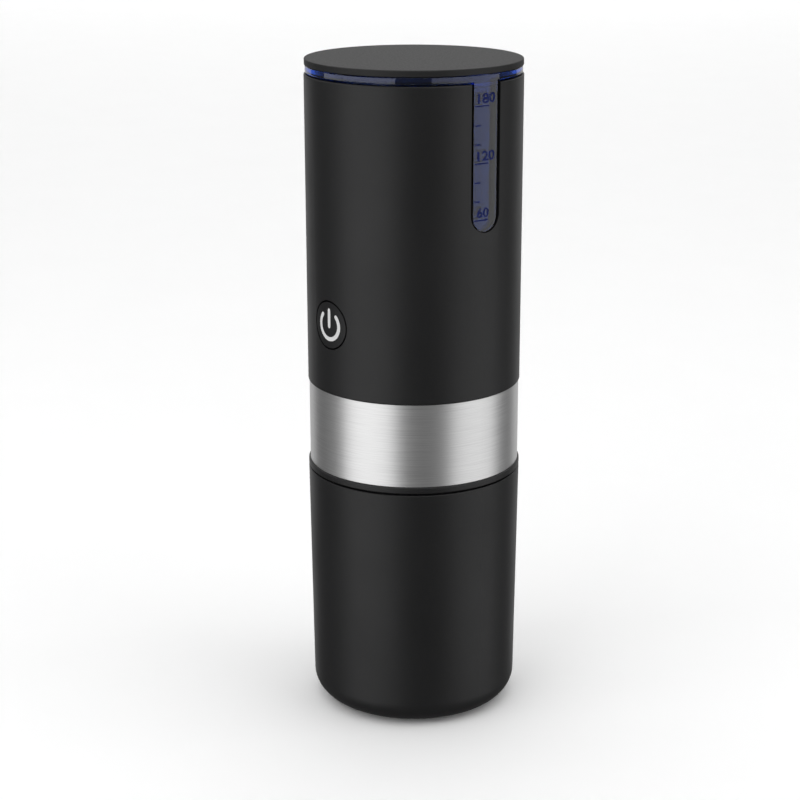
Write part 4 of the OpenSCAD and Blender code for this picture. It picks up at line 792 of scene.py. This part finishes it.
class BREWER_OT_stage(bpy.types.Operator):
    """Set up the pale floor, the soft lights and the camera"""

    bl_idname = "brewer.stage"
    bl_label = "Set up the studio"

    def execute(self, context):
        scene = context.scene
        studio = scene.brewer_studio
        turn = studio.camera_turn
        self.front = Vector((math.sin(turn), -math.cos(turn), 0.0))
        self.right = Vector((math.cos(turn), math.sin(turn), 0.0))
        self.ground(scene, studio)
        self.panel(scene, "left_softbox", studio.left_light)
        self.panel(scene, "right_softbox", studio.right_light)
        self.panel(scene, "back_panel", studio.back_light)
        self.panel(scene, "left_strip", studio.strip_share * studio.left_light)
        self.panel(scene, "right_strip", studio.strip_share * studio.right_light)
        overhead = Vector((0.0, 0.0, OVERHEAD_HEIGHT)) - OVERHEAD_BEHIND * self.front
        self.light(scene, "top_panel", overhead, Vector((0, 0, -1)), OVERHEAD_SIZE, OVERHEAD_SIZE,
                   studio.top_light)
        self.world(scene, studio)
        self.camera(scene, studio)
        return {"FINISHED"}

    def ground(self, scene, studio):
        """A flat round floor that sweeps up into a wall, all one surface."""
        flat, sweep = studio.ground_radius, studio.ground_sweep
        profile = [(0.0, 0.0)]
        for i in range(SWEEP_STEPS + 1):
            angle = math.pi / 2 * i / SWEEP_STEPS
            profile.append((flat + sweep * math.sin(angle), sweep * (1 - math.cos(angle))))
        profile.append((flat + sweep, sweep + studio.ground_wall))
        mesh = bmesh.new()
        points = [mesh.verts.new((r, 0.0, z)) for r, z in profile]
        edges = [mesh.edges.new(pair) for pair in zip(points, points[1:])]
        bmesh.ops.spin(mesh, geom=points + edges, axis=(0, 0, 1), cent=(0, 0, 0),
                       angle=math.tau, steps=FLOOR_STEPS, use_merge=True)
        for face in mesh.faces:
            face.smooth = True
        data = bpy.data.meshes.new("ground")
        mesh.to_mesh(data)
        mesh.free()
        # Matt white paint, rolled: pale and even, with a faint stipple in its gloss
        data.materials.append(grained(
            "rolled_matt_paint", 3 * [studio.ground_stipple],
            darker(scene.brewer_colours.ground, 0.99), scene.brewer_colours.ground,
            dull=(0.75, 0.85), relief=0.0, **{"Specular IOR Level": 0.2}))
        ground = bpy.data.objects.new("ground", data)
        # The machine's walls mirror the lights alone, also the parts of them below the floor
        ground.visible_glossy = False
        ground.visible_shadow = False
        scene.collection.objects.link(ground)

    def panel(self, scene, name, brightness):
        """An upright light that faces the machine."""
        panel = PANELS[name]
        angle = math.radians(panel.turn)
        out = math.cos(angle) * self.front + math.sin(angle) * self.right
        place = panel.distance * out + Vector((0, 0, panel.middle))
        self.light(scene, name, place, -out, panel.width, panel.height, brightness)

    def light(self, scene, name, place, aim, width, height, brightness):
        """A flat light of even brightness, which the camera doesn't see."""
        light = bpy.data.lights.new(name, "AREA")
        light.shape = "RECTANGLE"
        light.size, light.size_y = width, height
        light.energy = brightness * math.pi * width * height
        lamp = bpy.data.objects.new(name, light)
        lamp.location = place
        lamp.rotation_mode = "QUATERNION"
        lamp.rotation_quaternion = aim.to_track_quat("-Z", "Y")
        lamp.visible_camera = False
        scene.collection.objects.link(lamp)

    def world(self, scene, studio):
        """An even white glow all around."""
        world = bpy.data.worlds.new("studio")
        world.use_nodes = True
        tree = world.node_tree
        tree.nodes.clear()
        sky = add(tree, "ShaderNodeBackground", {
            "Color": (1.0, 1.0, 1.0, 1.0), "Strength": studio.ambient})
        add(tree, "ShaderNodeOutputWorld", {"Surface": sky.outputs["Background"]})
        scene.world = world

    def camera(self, scene, studio):
        """The photograph's camera, with colours shown as they are."""
        data = bpy.data.cameras.new("camera")
        data.sensor_width = SENSOR_WIDTH
        data.lens = studio.lens
        data.shift_x = studio.shift
        camera = bpy.data.objects.new("camera", data)
        camera.location = (studio.camera_distance * self.front
                           + Vector((0, 0, studio.camera_height)))
        camera.rotation_euler = (math.pi / 2 - studio.camera_pitch, 0.0, studio.camera_turn)
        scene.collection.objects.link(camera)
        scene.camera = camera
        scene.view_settings.view_transform = "Standard"


class BREWER_PT_sidebar(bpy.types.Panel):
    """Sidebar with every size, colour and step"""

    bl_idname = "BREWER_PT_sidebar"
    bl_label = "Portable coffee machine"
    bl_space_type = "VIEW_3D"
    bl_region_type = "UI"
    bl_category = "Brewer"

    def draw(self, context):
        for operator in OPERATORS:
            self.layout.operator(operator.bl_idname)
        for name, group in GROUPS.items():
            self.layout.label(text=group.__doc__)
            column = self.layout.column()
            for value in group.__annotations__:
                column.prop(getattr(context.scene, name), value)


OPERATORS = (
    BREWER_OT_shells, BREWER_OT_lid, BREWER_OT_band, BREWER_OT_tank, BREWER_OT_level_marks,
    BREWER_OT_power_symbol, BREWER_OT_rubber, BREWER_OT_mouldings, BREWER_OT_steel,
    BREWER_OT_pump_and_motor, BREWER_OT_electrics, BREWER_OT_stage,
)
GROUPS = {
    "brewer_sizes": BrewerSizes,
    "brewer_colours": BrewerColours,
    "brewer_scale": BrewerScale,
    "brewer_studio": BrewerStudio,
}
CLASSES = (*GROUPS.values(), *OPERATORS, BREWER_PT_sidebar)


def register():
    """Adds the sizes, colours, steps and sidebar to Blender."""
    for cls in CLASSES:
        bpy.utils.register_class(cls)
    for name, group in GROUPS.items():
        setattr(bpy.types.Scene, name, PointerProperty(type=group))


def unregister():
    """Takes them out again."""
    for name in GROUPS:
        delattr(bpy.types.Scene, name)
    for cls in reversed(CLASSES):
        bpy.utils.unregister_class(cls)


def main():
    """Runs every step in order."""
    register()
    bpy.ops.brewer.shells()
    bpy.ops.brewer.lid()
    bpy.ops.brewer.band()
    bpy.ops.brewer.tank()
    bpy.ops.brewer.level_marks()
    bpy.ops.brewer.power_symbol()
    bpy.ops.brewer.rubber()
    bpy.ops.brewer.mouldings()
    bpy.ops.brewer.steel()
    bpy.ops.brewer.pump_and_motor()
    bpy.ops.brewer.electrics()
    bpy.ops.brewer.stage()


if __name__ == "__main__":
    main()
